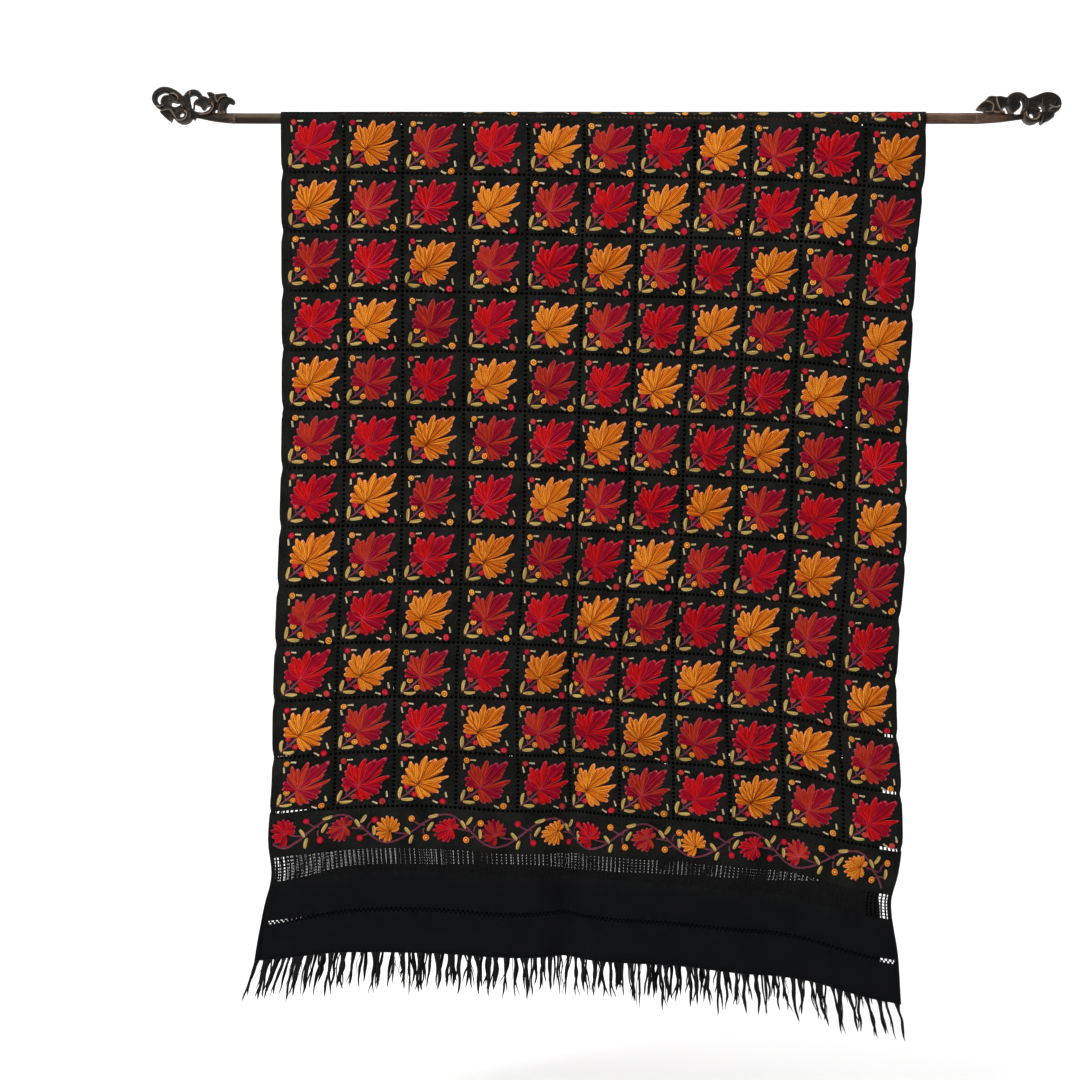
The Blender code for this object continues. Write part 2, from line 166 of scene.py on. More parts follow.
# A pull draws the front cloth to the right. Its place along is a drop below the rod.
PULLS = [
    Sag(0.19, 0.480, 0.130, 0.230, 5.6),
    Sag(0.42, 0.400, 0.120, 0.250, 3.4),
    Sag(0.64, 0.270, 0.130, 0.140, 3.4),
    Sag(0.88, 0.270, 0.060, 0.120, 3.0),
]
LEADS = [
    Lead(0.00, 6, 6, -8),
    Lead(0.06, 6.5, 3, -5.0),
    Lead(0.13, 7, -1, 4.5),
    Lead(0.28, 8, -3, 7.0),
    Lead(0.45, 9, 1, 3.5),
    Lead(0.56, 10, 8, -2.5),
    Lead(0.68, 11, 15, -8),
    Lead(0.76, 12, 21, -11),
    Lead(0.84, 14, 28, -14),
    Lead(0.92, 18, 43, -16),
    Lead(1.00, 22, 54, -18),
]
SELVAGES = {
    Side.FRONT: [
        Selvages(0.000, -359.5, 352.7),
        Selvages(0.060, -359.5, 351.0),
        Selvages(0.135, -359.5, 343.0),
        Selvages(0.225, -359.5, 337.5),
        Selvages(0.355, -360.5, 331.0),
        Selvages(0.455, -363.2, 331.0),
        Selvages(0.570, -367.6, 322.9),
        Selvages(0.640, -369.8, 320.0),
        Selvages(0.740, -371.2, 325.5),
        Selvages(0.797, -375.3, 327.0),
        Selvages(0.833, -371.5, 323.0),
        Selvages(0.868, -377.0, 315.0),
        Selvages(0.925, -382.0, 322.5),
        Selvages(0.980, -386.0, 326.0),
        Selvages(1.050, -396.0, 333.0),
    ],
    Side.BACK: [
        Selvages(0.000, -359.5, 352.7),
        Selvages(0.100, -359.5, 346.0),
        Selvages(0.290, -360.5, 334.0),
        Selvages(0.450, -363.0, 330.0),
        Selvages(0.600, -367.5, 320.0),
        Selvages(0.660, -369.0, 311.0),
        Selvages(0.740, -371.0, 304.5),
        Selvages(0.800, -373.0, 304.0),
        Selvages(0.835, -372.0, 298.0),
        Selvages(0.870, -380.0, 303.5),
        Selvages(0.925, -390.0, 304.0),
        Selvages(1.000, -399.0, 305.0),
    ],
}
FOLDS = {
    Side.FRONT: [
        Fold(0.00, 0.000, 0.035, -4.5, 0.00, 0.45),
        Fold(0.08, 0.010, 0.050, 6.0, 0.02, 0.22),
        Fold(0.21, 0.000, 0.075, -5.0, 0.00, 0.26),
        Fold(0.385, -0.015, 0.060, 8.0, 0.03, 0.15),
        Fold(0.475, 0.022, 0.021, -11.0, 0.24, 0.20),
        Fold(0.555, 0.015, 0.048, 8.0, 0.03, 0.30),
        Fold(0.73, -0.012, 0.045, 5.5, 0.02, 0.40),
        Fold(0.80, -0.010, 0.028, -6.0, 0.06, 0.48),
        Fold(0.91, 0.000, 0.048, 6.5, 0.03, 0.25),
        Fold(1.00, 0.000, 0.030, -4.0, 0.00, 0.35),
    ],
    Side.BACK: [
        Fold(0.02, 0.000, 0.030, -3.0, 0.00, 0.45),
        Fold(0.14, -0.010, 0.052, 6.5, 0.00, 0.20),
        Fold(0.27, 0.010, 0.028, -5.0, 0.00, 0.36),
        Fold(0.40, 0.000, 0.062, 7.0, 0.00, 0.28),
        Fold(0.53, 0.012, 0.050, -4.0, 0.00, 0.42),
        Fold(0.66, -0.012, 0.050, 8.0, 0.00, 0.22),
        Fold(0.79, 0.000, 0.024, -6.0, 0.00, 0.33),
        Fold(0.91, 0.008, 0.050, 6.0, 0.00, 0.30),
        Fold(1.00, 0.000, 0.030, -3.0, 0.00, 0.45),
    ],
}
CREASES = {
    Side.FRONT: [
        Crease(0.10, 0.885, 42, 9, 8, -1.6),
        Crease(0.24, 0.915, 55, 7, -6, 1.4),
        Crease(0.36, 0.862, 30, 8, 14, -1.3),
        Crease(0.52, 0.900, 26, 10, -20, -1.8),
        Crease(0.64, 0.872, 44, 8, 10, 1.5),
        Crease(0.70, 0.925, 38, 7, 16, -1.5),
        Crease(0.86, 0.930, 40, 10, 20, 1.8),
        Crease(0.95, 0.760, 16, 46, 12, -1.8),
        Crease(0.05, 0.560, 14, 60, -6, 1.4),
        Crease(0.47, 0.130, 12, 40, 8, -1.0),
        Crease(0.80, 0.200, 18, 60, 10, 1.2),
    ],
    Side.BACK: [
        Crease(0.12, 0.880, 46, 9, -9, 1.6),
        Crease(0.30, 0.905, 34, 8, 12, -1.7),
        Crease(0.46, 0.868, 52, 7, 5, 1.3),
        Crease(0.61, 0.915, 28, 10, -15, -1.8),
        Crease(0.77, 0.880, 40, 8, 9, 1.5),
        Crease(0.93, 0.860, 22, 14, -22, -1.6),
        Crease(0.07, 0.420, 15, 52, 7, -1.5),
        Crease(0.55, 0.300, 20, 64, -5, 1.2),
        Crease(0.88, 0.620, 16, 48, 10, 1.6),
    ],
}


def linear(red: int, green: int, blue: int) -> Colour:
    """A colour as seen on a screen, in the renderer's linear values.

    Args:
        red: Red, from 0 to 255.
        green: Green, from 0 to 255.
        blue: Blue, from 0 to 255.

    Returns:
        The three linear values, from 0 to 1.
    """
    shares = [value / 255 for value in (red, green, blue)]
    return tuple(s / 12.92 if s <= 0.04045 else ((s + 0.055) / 1.055) ** 2.4 for s in shares)


def darker(colour: Colour, share: float) -> Colour:
    """A colour with only a share of its light."""
    return tuple(share * part for part in colour)


def read(rows: list, key: str, value: str, at: ndarray) -> ndarray:
    """A table's column read at places along its key column, on a smooth curve.

    Args:
        rows: The table, in order of its key column.
        key: The key column's name.
        value: The name of the column that is read.
        at: The places along the key column.

    Returns:
        The value at each place.
    """
    keys = np.array([getattr(row, key) for row in rows])
    values = np.array([getattr(row, value) for row in rows], float)
    steps = np.diff(values) / np.diff(keys)
    slopes = np.concatenate([steps[:1], (steps[:-1] + steps[1:]) / 2, steps[-1:]])
    slopes[1:-1][steps[:-1] * steps[1:] <= 0] = 0.0
    at = np.clip(at, keys[0], keys[-1])
    i = np.clip(np.searchsorted(keys, at, side="right") - 1, 0, len(steps) - 1)
    span = keys[i + 1] - keys[i]
    t = (at - keys[i]) / span
    start = (2 * t**3 - 3 * t**2 + 1) * values[i] + (t**3 - 2 * t**2 + t) * span * slopes[i]
    return start + (3 * t**2 - 2 * t**3) * values[i + 1] + (t**3 - t**2) * span * slopes[i + 1]


def mound(across: ndarray, along: ndarray) -> ndarray:
    """The height of a round mound that is 1 in its middle, at places in units of its half widths."""
    return np.exp(-(across**2 + along**2) / 2)


def turned(x: ndarray, y: ndarray, angle: float) -> tuple[ndarray, ndarray]:
    """Points turned round the origin by an angle in radians."""
    return x * cos(angle) - y * sin(angle), x * sin(angle) + y * cos(angle)


def between(low: float, value: float, high: float) -> float:
    """The value, kept from low to high."""
    return min(max(value, low), high)


def only_verts(made: dict | list) -> list[BMVert]:
    """The vertices in what a bmesh operator has made."""
    return [item for item in made if isinstance(item, BMVert)]


def to_mesh(bm: BMesh, name: str) -> Mesh:
    """A new smooth mesh from a bmesh, which is freed."""
    mesh = bpy.data.meshes.new(name)
    bm.to_mesh(mesh)
    bm.free()
    mesh.shade_smooth()
    return mesh


def bell_area(x: ndarray) -> ndarray:
    """The error function, by the usual rational approximation.

    Args:
        x: The places.

    Returns:
        The error function there, within a millionth.
    """
    t = 1 / (1 + 0.3275911 * np.abs(x))
    series = np.zeros_like(t)
    for factor in (1.061405429, -1.453152027, 1.421413741, -0.284496736, 0.254829592):
        series = t * (factor + series)
    return np.sign(x) * (1 - series * np.exp(-x * x))


@dataclass(frozen=True)
class ClothCut:
    """The flat cloth and its drawn-thread lines, as the maker plans them."""

    width: float = 0.712
    half_length: float = 0.9355
    column_lines: tuple[float, ...] = (
        0.0078, 0.0979, 0.188, 0.285, 0.383, 0.4695, 0.555, 0.6405, 0.728, 0.8147, 0.9064, 0.9922)
    rows: int = 12
    long_rows: int = 9
    long_row: float = 65.3 * MM
    short_row: float = 61.2 * MM
    vine_height: float = 47.5 * MM
    lace_height: float = 24.5 * MM
    zigzag_above_hem: float = 48.7 * MM
    line_width: float = 3.1 * MM
    selvage_line: float = 1.2 * MM
    holes: int = 12
    hole_share: float = 0.58

    def line_along(self, row: int) -> float:
        """How far along the cloth the drawn line under a row of motifs runs.

        Args:
            row: The line's number, 0 at the crest and negative on the back.

        Returns:
            The place along the cloth.
        """
        count = abs(row)
        far = self.long_row * min(count, self.long_rows) + self.short_row * max(0, count - self.long_rows)
        return copysign(far, row)

    @property
    def columns(self) -> int:
        """The number of motifs across the cloth."""
        return len(self.column_lines) - 1

    @property
    def vine_middle(self) -> float:
        """The place along the cloth of the vine border's middle."""
        return self.line_along(self.rows) + self.vine_height / 2 + 0.5 * MM

    def cell(self, column: int, row: int) -> tuple[float, float, float, float]:
        """The sides of the square between four drawn lines.

        Args:
            column: The square's column, from 0 at the left.
            row: The square's row, 0 just below the crest and negative on the back.

        Returns:
            Left, right, upper and lower side in the flat layout.
        """
        left, right = (self.column_lines[column + i] * self.width for i in (0, 1))
        return left, right, self.line_along(row), self.line_along(row + 1)

    def at_end(self, side: Side, flat: ndarray) -> ndarray:
        """Points laid out for the front end, turned half round where the side is the back."""
        if side is Side.BACK:
            flat[:, 0], flat[:, 1] = self.width - flat[:, 0], -flat[:, 1]
        return flat


@dataclass
class Drape:
    """The hang of the cloth over the rod, and its small unevenness.

    pressed_on_rod says how far from the crest the needlework lies flat, and from where it
    stands free. back_aside and back_aside_low say how many millimetres the back fall hangs
    to the side of the front one at places across it, above and below the two low_drops.
    """

    cut: ClothCut
    bend_radius: float = 7.2 * MM
    folds_full_drop: float = 0.93
    pinch: float = 2.0 * MM
    pinch_reach: float = 20 * MM
    pinch_beyond_lines: float = 0.4
    line_reach: float = 7 * MM
    puff: float = 0.9 * MM
    ripple: float = 0.7 * MM
    starts_below_rod: float = 40 * MM
    back_aside: tuple[Pair, ...] = (
        (0.0, 0.0), (0.035, -9.8), (0.13, -9.6), (0.25, -8.6), (0.5, -7.1), (0.85, -5.3), (1.0, 0.0))
    back_aside_low: tuple[Pair, ...] = (
        (0.0, 0.0), (0.035, -6.6), (0.09, -7.2), (0.25, -8.6), (0.5, -7.1), (0.85, -5.3), (1.0, 0.0))
    aside_below_rod: float = 18 * MM
    low_drops: Pair = (0.62, 0.74)
    left_selvage_free: Pair = (0.0, 0.04)
    right_selvage_free: Pair = (0.80, 1.0)
    pressed_on_rod: Pair = (3 * MM, 9 * MM)
    nudge: float = 1.0 * MM

    def grown(self, fold: Fold, drop: ndarray) -> ndarray:
        """How much of a fold is there at each drop, from 0 to 1."""
        t = np.clip((drop - fold.begins) / (self.folds_full_drop - fold.begins), 0, 1)
        return t * t * (3 - 2 * t)

    def fold_centre(self, fold: Fold, drop: ndarray) -> ndarray:
        """Where a fold stands across the cloth at each drop."""
        return fold.across + fold.drift * (1 - np.minimum(1, drop / self.folds_full_drop))

    def taken(self, folds: list[Fold], place: ndarray, drop: ndarray) -> ndarray:
        """How much width is left of a place once the folds have taken theirs up.

        Args:
            folds: The folds of one fall.
            place: Places across the cloth, from 0 to 1.
            drop: Drops below the rod.

        Returns:
            The width left of each place.
        """
        left = place.copy()
        for fold in folds:
            reach = fold.half_width * sqrt(2)
            area = fold.take_up * self.grown(fold, drop) * fold.half_width * sqrt(pi / 2)
            left -= area * bell_area((place - self.fold_centre(fold, drop)) / reach)
        return left

    def run_over_rod(self, across: ndarray, along: ndarray) -> ndarray:
        """Distance of points of the cloth from the crest of the rod, down its front.

        Args:
            across: Places across the cloth, from 0 to 1.
            along: Places along the cloth.

        Returns:
            The run of each point.
        """
        t = np.minimum(1, np.abs(along) / self.cut.half_length)
        crest = read(LEADS, "across", "crest", across)
        hem = np.where(along >= 0, read(LEADS, "across", "front_hem", across),
                       read(LEADS, "across", "back_hem", across))
        run = along + (crest + (hem - crest) * t) * MM
        for sag in SAGS:
            here = mound((across - sag.across) / sag.half_wide, (along - sag.along) / sag.half_tall)
            run = run + sag.slip * MM * here
        return run

    def unevenness(self, side: Side, across: ndarray, along: ndarray,
                   drop: ndarray) -> tuple[ndarray, ndarray]:
        """The small shapes on top of the folds: pinched lines, puffed squares, creases.

        Args:
            side: The fall that the points are on.
            across: Places across the cloth, from 0 to 1.
            along: Places along the cloth.
            drop: Drops below the rod.

        Returns:
            The shift towards the right and the shift outwards of each point.
        """
        cut = self.cut
        lines = np.array([cut.line_along(row) for row in range(-cut.rows, cut.rows + 1)])
        row_phase = np.interp(along, lines, np.arange(len(lines)))
        column_phase = np.interp(across, cut.column_lines, np.arange(len(cut.column_lines)))
        from_line = np.abs(row_phase - np.round(row_phase)) * cut.long_row
        at_line = np.exp(-((from_line / self.line_reach) ** 2))
        at_line[(along < lines[0]) | (along > lines[-1])] *= self.pinch_beyond_lines
        fade = np.minimum(1, drop / self.starts_below_rod)
        from_edge = np.minimum(across, 1 - across) * cut.width
        inward = self.pinch * at_line * np.exp(-from_edge / self.pinch_reach) * fade
        right = np.where(across < 0.5, inward, -inward)
        for pull in PULLS:
            here = mound((across - pull.across) / pull.half_wide, (drop - pull.along) / pull.half_tall)
            right += pull.slip * MM * here * fade
        puffed = np.abs(np.sin(pi * row_phase) * np.sin(pi * column_phase)) ** 0.7
        out = self.puff * (puffed - 0.5)
        for crease in CREASES[side]:
            from_middle = (across - crease.across) * cut.width / MM, (drop - crease.drop) / MM
            wide, tall = turned(*from_middle, -radians(crease.turn))
            out += crease.stand * MM * mound(wide / crease.half_wide, tall / crease.half_tall)
        shift = 1.7 * side.value
        broad = np.sin(37 * across + 21 * drop + shift) * np.sin(13 * across - 29 * drop + 2 * shift)
        fine = np.sin(83 * across - 34 * drop - shift) * np.cos(61 * drop + 19 * across)
        out += self.ripple * (broad + 0.5 * fine)
        return right, out * fade

    def selvages(self, side: Side, drop: ndarray) -> list[ndarray]:
        """Where the left and the right selvage of one fall hang at each drop."""
        return [read(SELVAGES[side], "drop", edge, drop) * MM for edge in ("left", "right")]

    def sideways(self, side: Side, across: ndarray, drop: ndarray) -> ndarray:
        """Where points hang along the rod. The back fall follows the front one, a little aside.

        Args:
            side: The fall that the points are on.
            across: Places across the cloth, from 0 to 1.
            drop: Drops below the rod.

        Returns:
            The x of each point.
        """
        first, last = (self.taken(FOLDS[Side.FRONT], np.full_like(across, end), drop) for end in (0.0, 1.0))
        share = (self.taken(FOLDS[Side.FRONT], across, drop) - first) / (last - first)
        left, right = self.selvages(Side.FRONT, drop)
        place = left + (right - left) * share
        if side is Side.BACK:
            own_left, own_right = self.selvages(side, drop)
            place += (own_left - left) * np.interp(across, self.left_selvage_free, (1.0, 0.0))
            place += (own_right - right) * np.interp(across, self.right_selvage_free, (0.0, 1.0))
            tables = self.back_aside, self.back_aside_low
            high, low = (np.interp(across, *zip(*table)) for table in tables)
            aside = high + (low - high) * np.interp(drop, self.low_drops, (0.0, 1.0))
            place += aside * MM * np.minimum(1, drop / self.aside_below_rod)
        return place

    def fall(self, side: Side, across: ndarray, along: ndarray, run: ndarray) -> ndarray:
        """The hanging places of points on one side of the crest, in the middle of the cloth.

        Args:
            side: The side that they are on.
            across: Places across the cloth, from 0 to 1.
            along: Places along the cloth.
            run: Distances from the crest of the rod.

        Returns:
            One point a row.
        """
        quarter = self.bend_radius * pi / 2
        drop = np.maximum(0, np.abs(run) - quarter)
        bend = np.minimum(np.abs(run) / self.bend_radius, pi / 2)
        stand = np.zeros_like(across)
        for fold in FOLDS[side]:
            away = (across - self.fold_centre(fold, drop)) / fold.half_width
            stand += fold.stand * MM * self.grown(fold, drop) * np.exp(-away * away / 2)
        shift, out = self.unevenness(side, across, along, drop)
        y = self.bend_radius * np.sin(bend) + stand + out
        z = self.bend_radius * np.cos(bend) - drop
        return np.column_stack([self.sideways(side, across, drop) + shift, -side.value * y, z])

    def middle(self, across: ndarray, along: ndarray) -> ndarray:
        """The hanging places of points in the middle of the cloth's thickness."""
        run = self.run_over_rod(across, along)
        place = np.empty((len(run), 3))
        for side, here in ((Side.FRONT, run >= 0), (Side.BACK, run < 0)):
            if here.any():
                place[here] = self.fall(side, across[here], along[here], run[here])
        return place

    def hang(self, flat: ndarray) -> ndarray:
        """The hanging places of flat points.

        Args:
            flat: One point a row: x across, y along, and the distance out of the cloth.

        Returns:
            The points as they hang, one a row.
        """
        across, along, out = flat[:, 0] / self.cut.width, flat[:, 1], flat[:, 2]
        inside = np.clip(across, 0, 1)
        low, high = np.maximum(0, inside - self.nudge), np.minimum(1, inside + self.nudge)
        over = self.middle(high, along) - self.middle(low, along)
        down = self.middle(inside, along + self.nudge) - self.middle(inside, along - self.nudge)
        normal = np.cross(down, over)
        normal /= np.linalg.norm(normal, axis=1)[:, None]
        over /= np.linalg.norm(over, axis=1)[:, None]
        past = (across - inside) * self.cut.width
        pressed = np.interp(np.abs(self.run_over_rod(inside, along)), self.pressed_on_rod, (0.0, 1.0))
        return self.middle(inside, along) + normal * (out * pressed)[:, None] + over * past[:, None]


class Graph:
    """Makes and wires the nodes of one tree."""

    def __init__(self, tree: NodeTree) -> None:
        """Keep the tree."""
        self.tree = tree

    def add(self, kind: str, **settings: object) -> Node:
        """A new node.

        Args:
            kind: The node's type name.
            settings: Properties that are set on it.

        Returns:
            The node.
        """
        node = self.tree.nodes.new(kind)
        for name, value in settings.items():
            setattr(node, name, value)
        return node

    def feed(self, socket: NodeSocket, value: object) -> None:
        """Link an output to a socket, or set the socket's own value."""
        if isinstance(value, NodeSocket):
            self.tree.links.new(value, socket)
        elif isinstance(value, tuple) and len(value) == 3 and socket.type == "RGBA":
            socket.default_value = (*value, 1.0)
        else:
            socket.default_value = value

    def parts(self, place: NodeSocket) -> list[NodeSocket]:
        """The x, y and z of a vector."""
        node = self.add("ShaderNodeSeparateXYZ")
        self.feed(node.inputs[0], place)
        return list(node.outputs)

    def stored(self, name: str) -> NodeSocket:
        """The value that the mesh keeps under a name."""
        return self.add("ShaderNodeAttribute", attribute_name=name).outputs["Fac"]

    def square(self, value: NodeSocket) -> NodeSocket:
        """A value times itself."""
        return self.math("MULTIPLY", value, value)

    def give(self, node: Node, **values: object) -> Node:
        """Feed a node's inputs, whose names are given with an underscore for each space."""
        for name, value in values.items():
            self.feed(node.inputs[name.replace("_", " ")], value)
        return node

    def math(self, operation: str, *values: object, clamp: bool = False) -> NodeSocket:
        """The result of a Math node.

        Args:
            operation: The node's operation.
            values: Outputs or numbers, in the order of its inputs.
            clamp: Whether the result is kept from 0 to 1.

        Returns:
            Its output.
        """
        node = self.add("ShaderNodeMath", operation=operation, use_clamp=clamp)
        for socket, value in zip(node.inputs, values):
            self.feed(socket, value)
        return node.outputs[0]

    def vector(self, operation: str, *values: object) -> NodeSocket:
        """The result of a Vector Math node that puts out a vector."""
        node = self.add("ShaderNodeVectorMath", operation=operation)
        for socket, value in zip(node.inputs, values):
            self.feed(socket, value)
        return node.outputs[0]

    def noise(self, place: object, scale: float, detail: float = 2.0) -> NodeSocket:
        """The value of a Noise node at a place."""
        node = self.add("ShaderNodeTexNoise")
        return self.give(node, Vector=place, Scale=scale, Detail=detail).outputs["Fac"]

    def spread(self, value: object, low: float, high: float) -> NodeSocket:
        """A value that runs from 0 at low to 1 at high, and stays there past them."""
        node = self.add("ShaderNodeMapRange")
        return self.give(node, Value=value, From_Min=low, From_Max=high).outputs["Result"]

    def blend(self, share: object, first: object, second: object) -> NodeSocket:
        """The colour between two colours.

        Args:
            share: How much of the second colour there is, from 0 to 1.
            first: A colour or an output.
            second: A colour or an output.

        Returns:
            The mixed colour.
        """
        node = self.add("ShaderNodeMix", data_type="RGBA")
        for name, value in (("Factor_Float", share), ("A_Color", first), ("B_Color", second)):
            self.feed(next(s for s in node.inputs if s.identifier == name), value)
        return next(s for s in node.outputs if s.identifier == "Result_Color")


class Effect(Enum):
    """The shared shader node groups."""

    WEAVE = "plain_weave"
    CHAIN = "chain_stitch"
    TWIST = "twisted_yarn"
    GRAIN = "wood_grain"


@dataclass
class Workshop:
    """Builds each shared effect once and places it in the materials that use it."""

    made: dict[Effect, NodeTree] = field(default_factory=dict)

    def start(self, effect: Effect, inputs: tuple[str, ...], outputs: tuple[str, ...]) -> tuple:
        """A new node group with its inputs and outputs.

        Args:
            effect: The effect that the group makes.
            inputs: Names of the inputs. The first is a vector, and the others are numbers.
            outputs: Names of the outputs, which are numbers.

        Returns:
            The graph, the input node and the output node.
        """
        group = bpy.data.node_groups.new(effect.value, "ShaderNodeTree")
        for number, name in enumerate(inputs):
            kind = "NodeSocketFloat" if number else "NodeSocketVector"
            group.interface.new_socket(name=name, in_out="INPUT", socket_type=kind)
        for name in outputs:
            group.interface.new_socket(name=name, in_out="OUTPUT", socket_type="NodeSocketFloat")
        self.made[effect] = group
        graph = Graph(group)
        return graph, graph.add("NodeGroupInput"), graph.add("NodeGroupOutput")

    def place(self, graph: Graph, effect: Effect, **values: object) -> Node:
        """Put an effect in a material.

        Args:
            graph: The material's graph.
            effect: The effect.
            values: What its inputs take, by name.

        Returns:
            The group node.
        """
        if effect not in self.made:
            getattr(self, f"make_{effect.value}")()
        return graph.give(graph.add("ShaderNodeGroup", node_tree=self.made[effect]), **values)

    def make_plain_weave(self) -> None:
        """Plain weave: threads that pass over and under, with slubs and a soft nap."""
        graph, entry, leave = self.start(Effect.WEAVE, ("Place", "Thread"), ("Height", "Nap"))
        place, size = entry.outputs["Place"], entry.outputs["Thread"]
        warp, weft = (graph.math("DIVIDE", part, size) for part in graph.parts(place)[:2])
        both = graph.math("ADD", graph.math("FLOOR", warp), graph.math("FLOOR", weft))
        over = graph.math("MULTIPLY", graph.math("FRACT", graph.math("MULTIPLY", both, 0.5)), 2.0)
        threads = []
        for run, gain, least in ((warp, 0.45, 0.55), (weft, -0.45, 1.0)):
            hump = graph.math("SINE", graph.math("MULTIPLY", graph.math("FRACT", run), pi))
            rise = graph.math("MULTIPLY_ADD", over, gain, least)
            threads.append(graph.math("MULTIPLY", hump, rise))
        slub = graph.noise(place, 420.0, 3.0)
        height = graph.math("MULTIPLY_ADD", slub, 0.8, graph.math("MAXIMUM", *threads))
        broad = graph.math("MULTIPLY", graph.noise(place, 34.0, 4.0), 0.55)
        graph.give(leave, Height=height, Nap=graph.math("MULTIPLY_ADD", slub, 0.45, broad))

    def make_chain_stitch(self) -> None:
        """Rows of chain stitch: a link every stitch, a groove between rows."""
        inputs, outputs = ("Thread", "Row", "Link"), ("Height", "Groove", "Streak")
        graph, entry, leave = self.start(Effect.CHAIN, inputs, outputs)

        def from_middle(value: NodeSocket) -> NodeSocket:
            """How far a value is from the middle between two whole numbers."""
            return graph.math("ABSOLUTE", graph.math("SUBTRACT", graph.math("FRACT", value), 0.5))

        far, off, _ = graph.parts(entry.outputs["Thread"])
        row = graph.math("DIVIDE", off, entry.outputs["Row"])
        number, aside = graph.math("FLOOR", row), from_middle(row)
        along = graph.math("DIVIDE", far, entry.outputs["Link"])
        slant = graph.math("MULTIPLY_ADD", aside, -0.9, graph.math("MULTIPLY_ADD", number, 0.37, along))
        ridge, link = (graph.math("SUBTRACT", 1.0, graph.math("MULTIPLY", graph.square(value), fall))
                       for value, fall in ((aside, 4.0), (from_middle(slant), 3.2)))
        height = graph.math("MULTIPLY", ridge, link)
        step = graph.math("FLOOR", graph.math("MULTIPLY", slant, 0.28))
        mark = graph.give(graph.add("ShaderNodeCombineXYZ"), X=step, Y=number).outputs[0]
        few = graph.give(graph.add("ShaderNodeTexWhiteNoise", noise_dimensions="2D"), Vector=mark)
        whole = graph.give(graph.add("ShaderNodeTexWhiteNoise", noise_dimensions="1D"), W=number)
        tone = graph.math("MULTIPLY", whole.outputs["Value"], 0.6)
        graph.give(leave, Height=height, Groove=graph.math("SUBTRACT", 1.0, height, clamp=True),
                   Streak=graph.math("MULTIPLY_ADD", few.outputs["Value"], 0.4, tone))

    def make_twisted_yarn(self) -> None:
        """Twisted yarn: plies that wind round it, with stray hairs."""
        graph, entry, leave = self.start(Effect.TWIST, ("Round", "Plies"), ("Height", "Hair"))
        around, along, _ = graph.parts(entry.outputs["Round"])
        turn = graph.math("ADD", along, graph.math("MULTIPLY", around, entry.outputs["Plies"]))
        ply = graph.math("ABSOLUTE", graph.math("SINE", graph.math("MULTIPLY", turn, pi)))
        hair = graph.noise(graph.vector("MULTIPLY", entry.outputs["Round"], (30.0, 4.0, 1.0)), 3.0, 3.0)
        graph.give(leave, Height=graph.math("MULTIPLY_ADD", hair, 0.6, ply), Hair=hair)

    def make_wood_grain(self) -> None:
        """Wood: long fibres along X, pores, and broad patches of wear."""
        graph, entry, leave = self.start(Effect.GRAIN, ("Place", "Stretch"), ("Fibre", "Pores", "Patch"))
        squeeze = graph.give(graph.add("ShaderNodeCombineXYZ"), X=entry.outputs["Stretch"], Y=1.0, Z=1.0)
        long_place = graph.vector("MULTIPLY", entry.outputs["Place"], squeeze.outputs[0])
        graph.give(leave, Fibre=graph.noise(long_place, 520.0, 5.0),
                   Pores=graph.spread(graph.noise(long_place, 1500.0, 2.0), 0.56, 0.70),
                   Patch=graph.noise(entry.outputs["Place"], 48.0, 3.0))


@dataclass
class Surface:
    """A new material and the graph round its Principled shader."""

    name: str
    roughness: float = 0.8

    def __post_init__(self) -> None:
        """Make the material with its shader's plain values."""
        self.data = bpy.data.materials.new(self.name)
        self.data.use_nodes = True
        self.graph = Graph(self.data.node_tree)
        self.shader = self.data.node_tree.nodes["Principled BSDF"]
        self.give(Roughness=self.roughness, Specular_IOR_Level=0.3)

    def place(self, uv: bool) -> NodeSocket:
        """The UV place or the object place of each point."""
        node = self.graph.add("ShaderNodeTexCoord")
        return node.outputs["UV" if uv else "Object"]

    def give(self, **values: object) -> None:
        """Feed the shader's inputs."""
        self.graph.give(self.shader, **values)

    def bump(self, height: NodeSocket, distance: float, strength: float = 1.0) -> None:
        """Raise the surface by a height, as a distance in metres."""
        node = self.graph.add("ShaderNodeBump")
        self.graph.give(node, Distance=distance, Strength=strength, Height=height)
        self.give(Normal=node.outputs[0])


@dataclass(frozen=True)
class WoolFinish:
    """Fine black wool with a soft nap, and painted shade towards both hems."""

    name: str = "black_wool"
    dark: Colour = linear(9, 9, 8)
    light: Colour = linear(28, 28, 26)
    # The hem colour is painted shade: a darker, bluer black from the vine border out to both hems.
    hem: Colour = linear(10, 11, 14)
    hem_shade_begins: float = 0.80
    hem_shade_full: float = 0.86
    thread: float = 0.55 * MM

    def build(self, shop: Workshop) -> Material:
        """The material of the woven cloth."""
        made = Surface(self.name, 0.86)
        weave = shop.place(made.graph, Effect.WEAVE, Place=made.place(True), Thread=self.thread)
        nap = made.graph.spread(weave.outputs["Nap"], 0.34, 0.66)
        along = made.graph.math("ABSOLUTE", made.graph.parts(made.place(True))[1])
        # Painted shade: the cloth darkens from the vine border out to both hems.
        hem = made.graph.math("MULTIPLY", made.graph.spread(along, self.hem_shade_begins, self.hem_shade_full), 0.8)
        made.give(Base_Color=made.graph.blend(hem, made.graph.blend(nap, self.dark, self.light), self.hem),
                  Roughness=made.graph.math("MULTIPLY_ADD", nap, 0.1, 0.82),
                  Specular_IOR_Level=0.02, Sheen_Weight=0.01, Sheen_Roughness=0.5)
        made.bump(weave.outputs["Height"], 0.16 * MM, 0.7)
        return made.data


